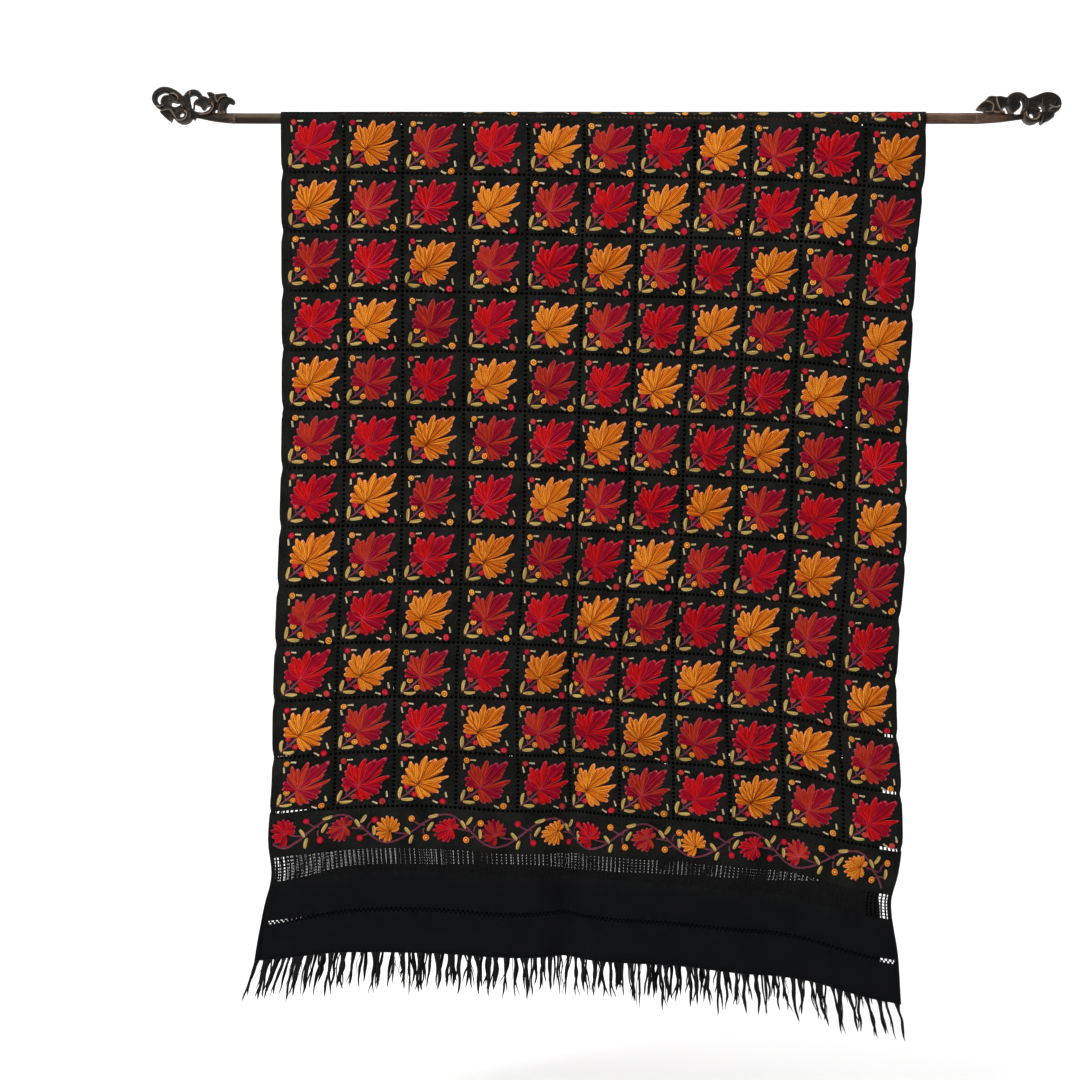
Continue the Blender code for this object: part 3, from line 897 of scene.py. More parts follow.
@dataclass(frozen=True)
class ThreadFinish:
    """Embroidery wool of one colour, worked in chain stitch."""

    name: str
    dark: Colour
    light: Colour
    row: float = 1.9
    link: float = 2.6

    def build(self, shop: Workshop) -> Material:
        """The material of stitching in this wool."""
        made = Surface(self.name, 0.72)
        graph = made.graph
        chain = shop.place(graph, Effect.CHAIN, Thread=made.place(True), Row=self.row, Link=self.link)
        uneven = graph.noise(made.place(False), 95.0, 2.0)
        uneven = graph.math("MULTIPLY", uneven, 0.35)
        tone = graph.math("MULTIPLY_ADD", chain.outputs["Streak"], 0.75, uneven)
        shade = graph.blend(graph.spread(tone, 0.25, 0.80), self.dark, self.light)
        # Painted shade: the grooves between rows of stitches and the sunk rims of each stitched shape are
        # darkened towards a near-black of the wool.
        groove = graph.math("MULTIPLY", graph.spread(chain.outputs["Groove"], 0.30, 1.0), 0.75)
        edge = graph.math("MULTIPLY", graph.spread(graph.stored("rim"), 0.86, 1.0), 0.85)
        deep = graph.blend(graph.math("MAXIMUM", groove, edge), shade, darker(self.dark, 0.16))
        made.give(Base_Color=deep, Specular_IOR_Level=0.04, Sheen_Weight=0.005)
        made.bump(chain.outputs["Height"], 0.30 * MM, 0.9)
        return made.data


@dataclass(frozen=True)
class YarnFinish:
    """Loose black fringe yarn."""

    name: str = "black_fringe_yarn"
    dark: Colour = linear(9, 9, 10)
    light: Colour = linear(24, 25, 26)

    def build(self, shop: Workshop) -> Material:
        """The material of the fringe."""
        made = Surface(self.name, 0.8)
        twist = shop.place(made.graph, Effect.TWIST, Round=made.place(True), Plies=2.0)
        hair = made.graph.spread(twist.outputs["Hair"], 0.35, 0.7)
        made.give(Base_Color=made.graph.blend(hair, self.dark, self.light), Specular_IOR_Level=0.08)
        made.bump(twist.outputs["Height"], 0.2 * MM, 0.8)
        return made.data


@dataclass(frozen=True)
class RodTones:
    """The rod's browns, and where one gives way to the next. The places are in metres. Some are painted
    light: a painted highlight along the top of the left stretch, painted shade on its underside, and
    painted shade where the cloth lies over the rod.
    """

    dark: Colour = linear(50, 34, 25)
    light: Colour = linear(92, 68, 52)
    # The next three are partly painted light: the left stretch's dark stain with painted shade on its
    # underside, a painted highlight along its top, and painted shade where the cloth lies over the rod.
    stain_and_shade: Colour = linear(18, 12, 8)
    wear_and_highlight: Colour = linear(70, 56, 41)
    shade_under_cloth: Colour = linear(9, 7, 6)
    upper_side: Pair = (-0.9 * MM, 0.9 * MM)
    # Where the painted highlight along the top fades in, at the left.
    top_highlight_from: Pair = (-0.436, -0.402)
    left_stretch: Pair = (-0.29, -0.35)
    left_share: float = 0.9
    cloth_begins: Pair = (-0.356, -0.353)
    cloth_stops_hiding: Pair = (0.12, 0.0)
    patches_begin: Pair = (-0.42, -0.20)

    def colour(self, made: Surface, fibre: NodeSocket) -> NodeSocket:
        """The brown, with a painted highlight on top and painted shade below on the left stretch, which
        also has a dark stain, and darkest painted shade under the cloth's left part.

        Args:
            made: The material that it is for.
            fibre: How light the grain is, from 0 to 1.

        Returns:
            The colour.
        """
        graph = made.graph
        x, _, z = graph.parts(made.place(False))
        # Painted highlight: the top half of the left stretch is paler, broken up by the grain.
        top = graph.math("ADD", graph.spread(z, *self.upper_side),
                         graph.math("MULTIPLY_ADD", fibre, 0.5, -0.25), clamp=True)
        top = graph.math("MULTIPLY", top, graph.spread(x, *self.top_highlight_from))
        left = graph.math("MULTIPLY", graph.spread(x, *self.left_stretch), self.left_share)
        brown = graph.blend(fibre, self.dark, self.light)
        # Painted shade: below the highlight, the left stretch takes the darkest brown, which also stands
        # for its dark stain.
        bare = graph.blend(left, brown, graph.blend(top, self.stain_and_shade, self.wear_and_highlight))
        # Painted shade: the rod is painted near black where the cloth lies over its left part.
        cloth_shade = graph.math("MULTIPLY", graph.spread(x, *self.cloth_begins),
                            graph.spread(x, *self.cloth_stops_hiding))
        return graph.blend(cloth_shade, bare, self.shade_under_cloth)


ROD_TONES = RodTones()


@dataclass(frozen=True)
class WoodFinish:
    """Wood with a dark stain, paler where hands and cloth have rubbed it; the rod's tones add a painted
    highlight and painted shade.
    """

    name: str
    dark: Colour
    light: Colour
    wear_and_highlight: Colour
    stretch: float
    carved: bool

    def build(self, shop: Workshop) -> Material:
        """The material of one kind of stained wood."""
        made = Surface(self.name, 0.45)
        graph = made.graph
        grain = shop.place(graph, Effect.GRAIN, Place=made.place(False), Stretch=self.stretch)
        fibre = graph.spread(grain.outputs["Fibre"], 0.3, 0.72)
        wear = graph.spread(grain.outputs["Patch"], 0.42, 0.72)
        wood = ROD_TONES.colour(made, fibre)
        if self.carved:
            edge = graph.stored("edge")
            wear = graph.math("MULTIPLY", graph.spread(edge, 0.35, 1.0),
                              graph.math("MULTIPLY_ADD", wear, 0.75, 0.25), clamp=True)
            hollow = graph.spread(graph.math("MULTIPLY", edge, -1.0), 0.1, 0.9)
            carving = graph.blend(graph.math("MULTIPLY", hollow, 0.6),
                                  graph.blend(fibre, self.dark, self.light), darker(self.dark, 0.35))
            rubbed = graph.math("MULTIPLY_ADD", fibre, 0.5, 0.75)
            rubbed = graph.math("MULTIPLY", graph.stored("line"), rubbed)
            wear = graph.math("MAXIMUM", wear, rubbed, clamp=True)
            wood = graph.blend(graph.stored("bare"), carving, wood)
        else:
            along = graph.parts(made.place(False))[0]
            wear = graph.math("MULTIPLY", wear, graph.spread(along, *ROD_TONES.patches_begin))
        wood = graph.blend(graph.math("MULTIPLY", wear, 0.62), wood, self.wear_and_highlight)
        pores = graph.math("MULTIPLY", grain.outputs["Pores"], 0.7)
        made.give(Base_Color=graph.blend(pores, wood, darker(self.dark, 0.4)),
                  Roughness=graph.math("MULTIPLY_ADD", wear, -0.12, 0.52), Specular_IOR_Level=0.12)
        made.bump(graph.math("SUBTRACT", grain.outputs["Fibre"], pores), 0.25 * MM, 0.6)
        return made.data


class Wool(Enum):
    """The embroidery wools."""

    SCARLET = ThreadFinish("scarlet_wool", linear(132, 1, 6), linear(190, 16, 18))
    CRIMSON = ThreadFinish("crimson_wool", linear(94, 0, 18), linear(156, 2, 32))
    ROSE = ThreadFinish("rose_outline_wool", linear(150, 24, 44), linear(192, 62, 76))
    BRICK = ThreadFinish("brick_wool", linear(126, 20, 13), linear(174, 48, 28))
    WINE = ThreadFinish("wine_wool", linear(96, 0, 22), linear(150, 8, 34))
    MAUVE = ThreadFinish("mauve_outline_wool", linear(128, 32, 52), linear(176, 70, 80))
    ORANGE = ThreadFinish("orange_wool", linear(170, 80, 10), linear(216, 132, 38))
    AMBER = ThreadFinish("amber_wool", linear(160, 70, 6), linear(202, 108, 20))
    PEACH = ThreadFinish("peach_outline_wool", linear(196, 100, 54), linear(228, 152, 104))
    BROWN = ThreadFinish("brown_vein_wool", linear(84, 22, 4), linear(120, 42, 8))
    RUST_BERRY = ThreadFinish("rust_berry_wool", linear(150, 36, 34), linear(186, 66, 54))
    GOLD_BERRY = ThreadFinish("gold_berry_wool", linear(206, 116, 34), linear(236, 160, 70))
    RED_BERRY = ThreadFinish("red_berry_wool", linear(158, 6, 28), linear(200, 28, 44))
    STEM = ThreadFinish("mauve_stem_wool", linear(84, 32, 48), linear(124, 66, 80))
    OLIVE = ThreadFinish("olive_wool", linear(140, 114, 56), linear(190, 160, 96))
    STRAW = ThreadFinish("straw_wool", linear(154, 134, 98), linear(196, 176, 138))


@dataclass
class Threads:
    """Keeps one material for each wool."""

    shop: Workshop
    made: dict[Wool, Material] = field(default_factory=dict)

    def materials(self, wools: tuple[Wool, ...]) -> list[Material]:
        """The wools' materials, each built when it is first asked for."""
        for wool in wools:
            if wool not in self.made:
                self.made[wool] = wool.value.build(self.shop)
        return [self.made[wool] for wool in wools]


def new_piece(name: str, mesh: Mesh, materials: list[Material],
              slot: str | None = None, nodes: tuple[str, ...] = ()) -> Object:
    """A finished piece that rides on the part's one body.

    Args:
        name: The piece's name.
        mesh: Its mesh, with its place in it.
        materials: Its materials, in the order of its faces' numbers.
        slot: A material slot's name; it is not used.
        nodes: The nodes that it stands for.

    Returns:
        The object.
    """
    mesh.name = name
    for material in materials:
        mesh.materials.append(material)
    piece = bpy.data.objects.new(name, mesh)
    bpy.context.scene.collection.objects.link(piece)
    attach(piece, "root")
    if nodes:
        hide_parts(*nodes)
    LOG.info("%s: %d faces", name, len(mesh.polygons))
    return piece


@dataclass
class ClothSheets:
    """The woven cloth with its drawn-thread lines, lace bands and zigzag lines.

    clear says how near to a line of the front a hole of the back stays closed. Nearer to the
    crest than bent_reach the cloth keeps all its small faces, so that it bends smoothly.
    The front sheet begins seam_after bands into the first square behind the rod.
    """

    cut: ClothCut
    drape: Drape
    wall: float = 0.7 * MM
    blocks: int = 8
    margin_steps: int = 2
    lace_rows: int = 8
    lace_bar: float = 0.9 * MM
    lace_thread: float = 0.58 * MM
    lace_worked: Pair = (0.025, 0.955)
    upright_threads: tuple[float, ...] = (0.25, 0.5, 0.75)
    level_pieces: int = 24
    rope_row: float = 2.1 * MM
    rope_bar: float = 0.3 * MM
    plain_step: float = 8 * MM
    seam_after: int = 8
    clear: float = 3.6 * MM
    bent_reach: float = 34 * MM

    def steps(self, start: float, stop: float, count: int, first: int) -> list[Band]:
        """Plain bands of equal width."""
        edges = np.linspace(start, stop, count + 1)
        return [Band(Stripe.PLAIN, a, b, first + i) for i, (a, b) in enumerate(zip(edges, edges[1:]))]

    def square(self, start: float, stop: float, first: int) -> list[Band]:
        """The bands between two drawn lines, in step with the holes of a line.

        Args:
            start: Where the square begins.
            stop: Where it ends.
            first: The number of its first block.

        Returns:
            Bars and holes in turn, a bar at both ends.
        """
        share = self.cut.hole_share
        count = 2 * self.cut.holes + 1
        pitch = (stop - start) / (self.cut.holes + 1 - share)
        bands, at = [], start
        for i in range(count):
            wide = pitch * (share if i % 2 else 1 - share)
            kind = Stripe.HOLE if i % 2 else Stripe.BAR
            bands.append(Band(kind, at, at + wide, first + i * self.blocks // count))
            at += wide
        return bands

    def across_bands(self) -> list[Band]:
        """The columns of the flat cloth, from selvage to selvage."""
        cut = self.cut
        lines = [share * cut.width for share in cut.column_lines]
        halves = [cut.selvage_line / 2, *[cut.line_width / 2] * (cut.columns - 1), cut.selvage_line / 2]
        bands = self.steps(0.0, lines[0] - halves[0], self.margin_steps, 0)
        for number, (line, half) in enumerate(zip(lines, halves)):
            kind = Stripe.LINE if 0 < number < cut.columns else Stripe.HOLE
            bands.append(Band(kind, line - half, line + half, bands[-1].block + 1))
            if number < cut.columns:
                stop = lines[number + 1] - halves[number + 1]
                bands += self.square(line + half, stop, bands[-1].block + 1)
        return bands + self.steps(lines[-1] + halves[-1], cut.width, self.margin_steps, bands[-1].block + 1)

    def net(self, start: float, kinds: list[Stripe], tall: float, bar: float, block: int) -> list[Band]:
        """Rows of holes with a thread between them.

        Args:
            start: Where the first row begins.
            kinds: The kind of each row of holes.
            tall: The height of a hole.
            bar: The height of the thread between two rows.
            block: The number of the block before it.

        Returns:
            The bands of the net.
        """
        bands, at = [], start
        for row, kind in enumerate(kinds):
            bands.append(Band(kind, at, at + tall, block + 1))
            at += tall
            if row < len(kinds) - 1:
                bands.append(Band(Stripe.NET_BAR, at, at + bar, block + 1))
                at += bar
        return bands

    def half_bands(self) -> list[Band]:
        """The rows from just below the crest line to the front hem."""
        cut, half = self.cut, self.cut.line_width / 2
        bands: list[Band] = []
        block = 1
        for row in range(cut.rows):
            top, foot = cut.line_along(row) + half, cut.line_along(row + 1) - half
            bands += self.square(top, foot, block)
            bands.append(Band(Stripe.LINE, foot, foot + 2 * half, bands[-1].block + 1))
            block = bands[-1].block + 1
        lace = cut.line_along(cut.rows) + cut.vine_height
        bands += self.steps(bands[-1].stop, lace, round(cut.vine_height / self.plain_step), block)
        hole = (cut.lace_height - (self.lace_rows - 1) * self.lace_bar) / self.lace_rows
        bands += self.net(lace, [Stripe.LACE] * self.lace_rows, hole, self.lace_bar, bands[-1].block)
        rope = cut.half_length - cut.zigzag_above_hem - self.rope_row - self.rope_bar / 2
        start = bands[-1].stop
        bands += self.steps(start, rope, round((rope - start) / self.plain_step), bands[-1].block + 1)
        zigzag = [Stripe.NET_ODD, Stripe.NET_EVEN]
        bands += self.net(rope, zigzag, self.rope_row, self.rope_bar, bands[-1].block)
        start = bands[-1].stop
        count = round((cut.half_length - start) / self.plain_step)
        return bands + self.steps(start, cut.half_length, count, bands[-1].block + 1)

    def along_bands(self) -> tuple[list[Band], list[Band]]:
        """The rows of the back sheet and of the front sheet, back hem first."""
        half = self.cut.line_width / 2
        front = self.half_bands()
        back = [Band(band.kind, -band.stop, -band.start, -band.block) for band in front[::-1]]
        seam = len(back) - (2 * self.cut.holes + 1) + self.seam_after
        return back[:seam], back[seam:] + [Band(Stripe.LINE, -half, half, 0)] + front

    @staticmethod
    def is_open(column: Stripe, row: Stripe) -> bool:
        """Whether the cloth has a hole where a column and a row cross."""
        if row in (Stripe.LINE, Stripe.LACE, Stripe.NET_ODD):
            return column in (Stripe.HOLE, Stripe.LINE)
        if row is Stripe.NET_EVEN:
            return column is Stripe.BAR
        return column is Stripe.LINE and row is Stripe.HOLE

    @staticmethod
    def is_solid_block(column: Stripe, row: Stripe) -> bool:
        """Whether the crossing of a column and a row belongs to a whole block of cloth."""
        if row in (Stripe.LINE, Stripe.LACE, Stripe.NET_ODD, Stripe.NET_EVEN, Stripe.NET_BAR):
            return False
        return column is not Stripe.LINE or row is Stripe.PLAIN

    def closed_holes(self, columns: list[Band], rows: list[Band]) -> ndarray:
        """The holes of the back that stay closed, as a line of the front crosses before them.

        Args:
            columns: The bands over its width.
            rows: The bands along its length.

        Returns:
            Whether each hole is closed, one row of the cloth a row.
        """
        middles = (np.array([(band.start + band.stop) / 2 for band in bands]) for bands in (columns, rows))
        across, along = np.meshgrid(*middles)
        across = across / self.cut.width
        run = np.abs(self.drape.run_over_rod(across, along))
        before = run - self.drape.run_over_rod(across, -along) - along
        lines = [self.cut.line_along(row) for row in range(self.cut.rows + 1)]
        from_line = np.min([np.abs(before - line) for line in lines], 0)
        place = self.drape.sideways(Side.BACK, across, run)
        beside = np.min([np.abs(place - self.drape.sideways(Side.FRONT, np.full_like(across, line), run))
                         for line in self.cut.column_lines[1:-1]], 0)
        level = np.array([[band.kind is Stripe.LINE] for band in rows])
        upright = np.array([band.kind is Stripe.LINE for band in columns])
        worked = np.array([[band.kind is Stripe.HOLE] for band in rows])
        return (level & ~upright & (beside < self.clear)) | (upright & worked & (from_line < self.clear))

    def lay_out(self, columns: list[Band], rows: list[Band]) -> BMesh:
        """The flat cloth with all its holes, thinned to whole blocks between them.

        Args:
            columns: The bands over its width.
            rows: The bands along its length.

        Returns:
            A flat bmesh with its UV map.
        """
        bm = bmesh.new()
        bmesh.ops.create_grid(bm, x_segments=len(columns), y_segments=len(rows), size=1.0)
        across = [columns[0].start] + [band.stop for band in columns]
        along = [rows[0].start] + [band.stop for band in rows]
        for number, vert in enumerate(bm.verts):
            j, i = divmod(number, len(across))
            vert.co = (across[i], along[j], 0.0)
        bm.verts.index_update()
        behind = rows[-1].stop < 0
        bent = [abs(band.start + band.stop) / 2 < self.bent_reach for band in rows]
        closed = self.closed_holes(columns, rows) if behind else np.zeros((len(rows), len(columns)), bool)
        block, holes = {}, []
        for face in bm.faces:
            j, i = divmod(min(vert.index for vert in face.verts), len(across))
            if self.is_open(columns[i].kind, rows[j].kind):
                if not closed[j, i]:
                    holes.append(face)
            elif self.is_solid_block(columns[i].kind, rows[j].kind) and not bent[j]:
                block[face] = (columns[i].block, rows[j].block)
        inner = [edge for edge in bm.edges if len(edge.link_faces) == 2
                 and edge.link_faces[0] in block
                 and block[edge.link_faces[0]] == block.get(edge.link_faces[1])]
        bmesh.ops.delete(bm, geom=holes, context="FACES")
        bmesh.ops.dissolve_edges(bm, edges=inner, use_verts=True)
        bmesh.ops.reverse_faces(bm, faces=bm.faces)
        layer = bm.loops.layers.uv.new("UVMap")
        for face in bm.faces:
            for loop in face.loops:
                loop[layer].uv = loop.vert.co.xy
        return bm

    def sheet(self, name: str, rows: list[Band], wool: Material,
              nodes: tuple[str, ...]) -> Object:
        """One hanging sheet of the cloth.

        Args:
            name: The piece's name.
            rows: The bands along its length.
            wool: Its material.
            nodes: The nodes that it stands for.

        Returns:
            The piece.
        """
        mesh = to_mesh(self.lay_out(self.across_bands(), rows), name)
        flat = np.empty(len(mesh.vertices) * 3)
        mesh.vertices.foreach_get("co", flat)
        mesh.vertices.foreach_set("co", self.drape.hang(flat.reshape(-1, 3)).ravel())
        piece = new_piece(name, mesh, [wool], "wool_cloth", nodes)
        solidify = piece.modifiers.new("wall", "SOLIDIFY")
        solidify.thickness = self.wall
        solidify.offset = 0.0
        return piece

    def lace_threads(self, side: Side, yarn: Material) -> Object:
        """The fine threads that run through the holes of a lace band, three upright and one level.

        Args:
            side: The end of the cloth.
            yarn: Their material.

        Returns:
            The piece.
        """
        bm = bmesh.new()
        bmesh.ops.create_grid(bm, x_segments=1, y_segments=10, size=0.5)
        thread = bm.verts.layers.float_vector.new("thread")
        for vert in bm.verts:
            vert[thread] = Vector((vert.co.x, 8 * vert.co.y, 0.0))
        stamp, work = Stamp(bm, thread), Needlework()
        aside, t, flat_out = stamp.points.T
        top = self.cut.line_along(self.cut.rows) + self.cut.vine_height
        tall = self.cut.lace_height

        def lay(x: ndarray, y: ndarray) -> None:
            """Lay one thread along places across and along the cloth."""
            work.lay(stamp, self.cut.at_end(side, np.column_stack([x, y, flat_out])))

        first, last = (share * self.cut.width for share in self.lace_worked)
        holes = [band for band in self.across_bands()
                 if band.kind in (Stripe.HOLE, Stripe.LINE) and first < band.start < last]
        for band in holes:
            for share in self.upright_threads:
                x = band.start + share * (band.stop - band.start)
                lay(x + aside * self.lace_thread, top + (0.5 - t) * tall)
        pieces = np.linspace(first, last, self.level_pieces + 1)
        for y in top + (np.arange(self.lace_rows) + 0.5) * tall / self.lace_rows:
            for start, stop in zip(pieces, pieces[1:]):
                lay(start + (t + 0.5) * (stop - start), y + aside * self.lace_thread)
        return work.hang(f"lace_threads_{side.name.lower()}", self.drape, [yarn])

    def build(self, wool: Material) -> dict[Side, Object]:
        """Both sheets of the cloth.

        Args:
            wool: The cloth's material.

        Returns:
            The front sheet, which runs on over the rod, and the back sheet.
        """
        back, front = self.along_bands()
        self.seam = front[0].start
        return {
            Side.FRONT: self.sheet("stole_front", front, wool, ("stole_front_fall", "stole_rod_turn")),
            Side.BACK: self.sheet("stole_back", back, wool, ("stole_back_fall",)),
        }


class Finger(NamedTuple):
    """One lobe of a leaf, in millimetres from the meeting point of its veins."""

    base: Pair
    tip: Pair
    width: float
    bend: float
    part: int


class Part(Enum):
    """The parts of a motif that have a wool of their own."""

    BRIGHT = 0
    DEEP = 1
    OUTLINE = 2
    VEIN = 3
    BERRY = 4
    RING = 5
    STEM = 6
    OLIVE = 7
    STRAW = 8


SLIP_WOOLS = (Wool.STEM, Wool.OLIVE, Wool.STRAW)
VINE_WOOLS = (Wool.GOLD_BERRY, Wool.BROWN, Wool.MAUVE, Wool.MAUVE, Wool.RED_BERRY, Wool.ROSE,
              Wool.STEM, Wool.OLIVE)


class Kind(Enum):
    """The three colourings of the leaf, each with the wools of its parts in order."""

    RED = (Wool.SCARLET, Wool.CRIMSON, Wool.ROSE, Wool.ROSE, Wool.RUST_BERRY, Wool.ROSE, *SLIP_WOOLS)
    ORANGE = (Wool.ORANGE, Wool.AMBER, Wool.PEACH, Wool.BROWN, Wool.RED_BERRY, Wool.ROSE, *SLIP_WOOLS)
    RUST = (Wool.BRICK, Wool.WINE, Wool.MAUVE, Wool.MAUVE, Wool.GOLD_BERRY, Wool.BROWN, *SLIP_WOOLS)


class StitchBed:
    """Stitched shapes on a flat ground, in millimetres, x to the right and y up."""

    ACROSS = (-1.0, -0.78, -0.42, 0.0, 0.42, 0.78, 1.0)
    ALONG = (0.0, 0.26, 0.52, 0.74, 0.91, 1.0)
    CORD_ACROSS = (-1.0, 0.0, 1.0)
    SUNK = 0.12

    def __init__(self) -> None:
        """Start an empty bed."""
        self.bm = bmesh.new()
        self.thread = self.bm.verts.layers.float_vector.new("thread")

    def strip(self, across: tuple[float, ...], along: tuple[float, ...]) -> list[BMVert]:
        """A flat grid whose vertices keep their place across and along in the thread layer.

        Args:
            across: Places across the strip, from -1 to 1.
            along: Places along the strip, from 0 to 1.

        Returns:
            The new vertices.
        """
        made = bmesh.ops.create_grid(
            self.bm, x_segments=len(across) - 1, y_segments=len(along) - 1, size=1.0)["verts"]
        for vert in made:
            column = round((vert.co.x + 1) / 2 * (len(across) - 1))
            row = round((vert.co.y + 1) / 2 * (len(along) - 1))
            vert[self.thread] = Vector((across[column], along[row], 0.0))
        return made

    def paint(self, verts: list[BMVert], fill: Part, rim: Part, rim_from: float) -> None:
        """Give a strip's faces their wools, before its thread layer is put in millimetres.

        Args:
            verts: The strip's vertices.
            fill: The part that its middle belongs to.
            rim: The part that its edge belongs to.
            rim_from: How far along the strip the edge's own wool begins.
        """
        for face in {face for vert in verts for face in vert.link_faces}:
            places = [vert[self.thread] for vert in face.verts]
            across = abs(sum(place.x for place in places)) / len(places)
            along = sum(place.y for place in places) / len(places)
            edge = (across > 0.85 or along > 0.94) and along > rim_from
            face.material_index = (rim if edge else fill).value

    def petal(self, finger: Finger, fill: Part, rim: Part, height: float, rim_from: float = 0.5,
              belly: float = 0.60, foot: float = 0.35, crown: float = 0.26) -> None:
        """A filled shape that is widest at its belly and narrows to a round tip.

        Args:
            finger: Its place and size.
            fill: The part that its middle belongs to.
            rim: The part that its edge belongs to.
            height: How far it stands up.
            rim_from: How far along it the edge's own wool begins.
            belly: Where it is widest, from 0 to 1.
            foot: Its width at the base, as a share of the greatest.
            crown: Its width at the tip, as a share of the greatest.
        """
        base, tip = Vector(finger.base), Vector(finger.tip)
        run = tip - base
        aside = Vector((run.y, -run.x)).normalized()
        verts = self.strip(self.ACROSS, self.ALONG)
        self.paint(verts, fill, rim, rim_from)
        for vert in verts:
            s, t, _ = vert[self.thread]
            if t < belly:
                share = foot + (1 - foot) * sin(pi / 2 * t / belly)
            else:
                share = crown + (1 - crown) * cos(pi / 2 * (t - belly) / (1 - belly)) ** 0.8
            half = finger.width / 2 * share
            place = base + run * t + aside * (s * half + finger.bend * 4 * t * (1 - t))
            stand = height * (1 - 0.16 * s * s) if abs(s) < 0.9 and t < 0.99 else -self.SUNK
            vert.co = (place.x, place.y, stand)
            vert[self.thread] = Vector((run.length * t, s * half, abs(s)))

    def cord(self, route: list[Pair], widths: Pair, height: float,
             part: Part, lift: float = 0.0) -> None:
        """A raised line of stitches along a route.

        Args:
            route: Its points, in order.
            widths: Its width at the first and at the last point.
            height: How far its middle stands up.
            part: The part that it belongs to.
            lift: How far its edges lie above the ground.
        """
        points = [Vector(point) for point in route]
        spans = [0.0]
        for a, b in zip(points, points[1:]):
            spans.append(spans[-1] + (b - a).length)
        shares = [span / spans[-1] for span in spans]
        verts = self.strip(self.CORD_ACROSS, tuple(shares))
        self.paint(verts, part, part, 2.0)
        for vert in verts:
            s, t, _ = vert[self.thread]
            i = min(range(len(shares)), key=lambda k: abs(shares[k] - t))
            ahead = points[min(i + 1, len(points) - 1)] - points[max(i - 1, 0)]
            aside = Vector((ahead.y, -ahead.x)).normalized()
            half = (widths[0] + (widths[1] - widths[0]) * t) / 2
            place = points[i] + aside * (s * half)
            vert.co = (place.x, place.y, height if abs(s) < 0.5 else lift - self.SUNK)
            vert[self.thread] = Vector((spans[i], s * half, 0.0))

    def berry(self, x: float, y: float, radius: float, height: float,
              body: Part = Part.BERRY, ring: Part = Part.RING) -> None:
        """A round berry: an outer ring of stitches, a darker ring and a raised heart.

        Args:
            x: Its middle's place.
            y: Its middle's height.
            radius: Its radius.
            height: How far it stands up.
            body: The part that it belongs to.
            ring: The part that its inner ring belongs to.
        """
        profile = ((0.0, 0.95), (0.38, 0.92), (0.56, 0.70), (0.80, 0.92), (1.0, -0.12))
        verts = [self.bm.verts.new((x + share * radius, y, rise * height)) for share, rise in profile]
        edges = [self.bm.edges.new(pair) for pair in zip(verts, verts[1:])]
        middle = Vector((x, y))
        swept = bmesh.ops.spin(self.bm, geom=verts + edges, cent=(x, y, 0.0), axis=(0, 0, 1),
                               angle=2 * pi, steps=9, use_merge=True, use_duplicate=False)
        grown, more = set(), {*only_verts(swept["geom_last"]), *verts}
        while more:
            grown |= more
            more = {edge.other_vert(vert) for vert in grown for edge in vert.link_edges} - grown
        hearts = [vert for vert in grown if (vert.co.xy - middle).length < 0.01]
        bmesh.ops.remove_doubles(self.bm, verts=hearts, dist=0.005)
        faces = {face for vert in grown if vert.is_valid for face in vert.link_faces}
        bmesh.ops.recalc_face_normals(self.bm, faces=list(faces))
        if sum(face.normal.z for face in faces) < 0:
            bmesh.ops.reverse_faces(self.bm, faces=list(faces))
        for face in faces:
            away = (face.calc_center_median().xy - middle).length / radius
            face.material_index = (ring if 0.42 < away < 0.62 else body).value
        for vert in {vert for face in faces for vert in face.verts}:
            from_heart = vert.co.xy - middle
            vert[self.thread] = Vector((from_heart.x, from_heart.length, from_heart.length / radius))

    def finish(self) -> "Stamp":
        """Turn the bed into a stamp."""
        return Stamp(self.bm, self.thread)


class Stamp:
    """A small shape that is repeated many times, as arrays."""

    def __init__(self, bm: BMesh, thread: BMLayerItem) -> None:
        """Read the arrays from a bmesh and free it.

        Args:
            bm: The shape.
            thread: The vertex layer with each vertex's place along and across its stitches.
        """
        bm.verts.index_update()
        self.points = np.array([vert.co[:] for vert in bm.verts])
        self.thread = np.array([vert[thread][:2] for vert in bm.verts])
        self.rim = np.array([vert[thread][2] for vert in bm.verts])
        self.corners = np.array([vert.index for face in bm.faces for vert in face.verts])
        self.sizes = np.array([len(face.verts) for face in bm.faces])
        self.parts = np.array([face.material_index for face in bm.faces])
        bm.free()


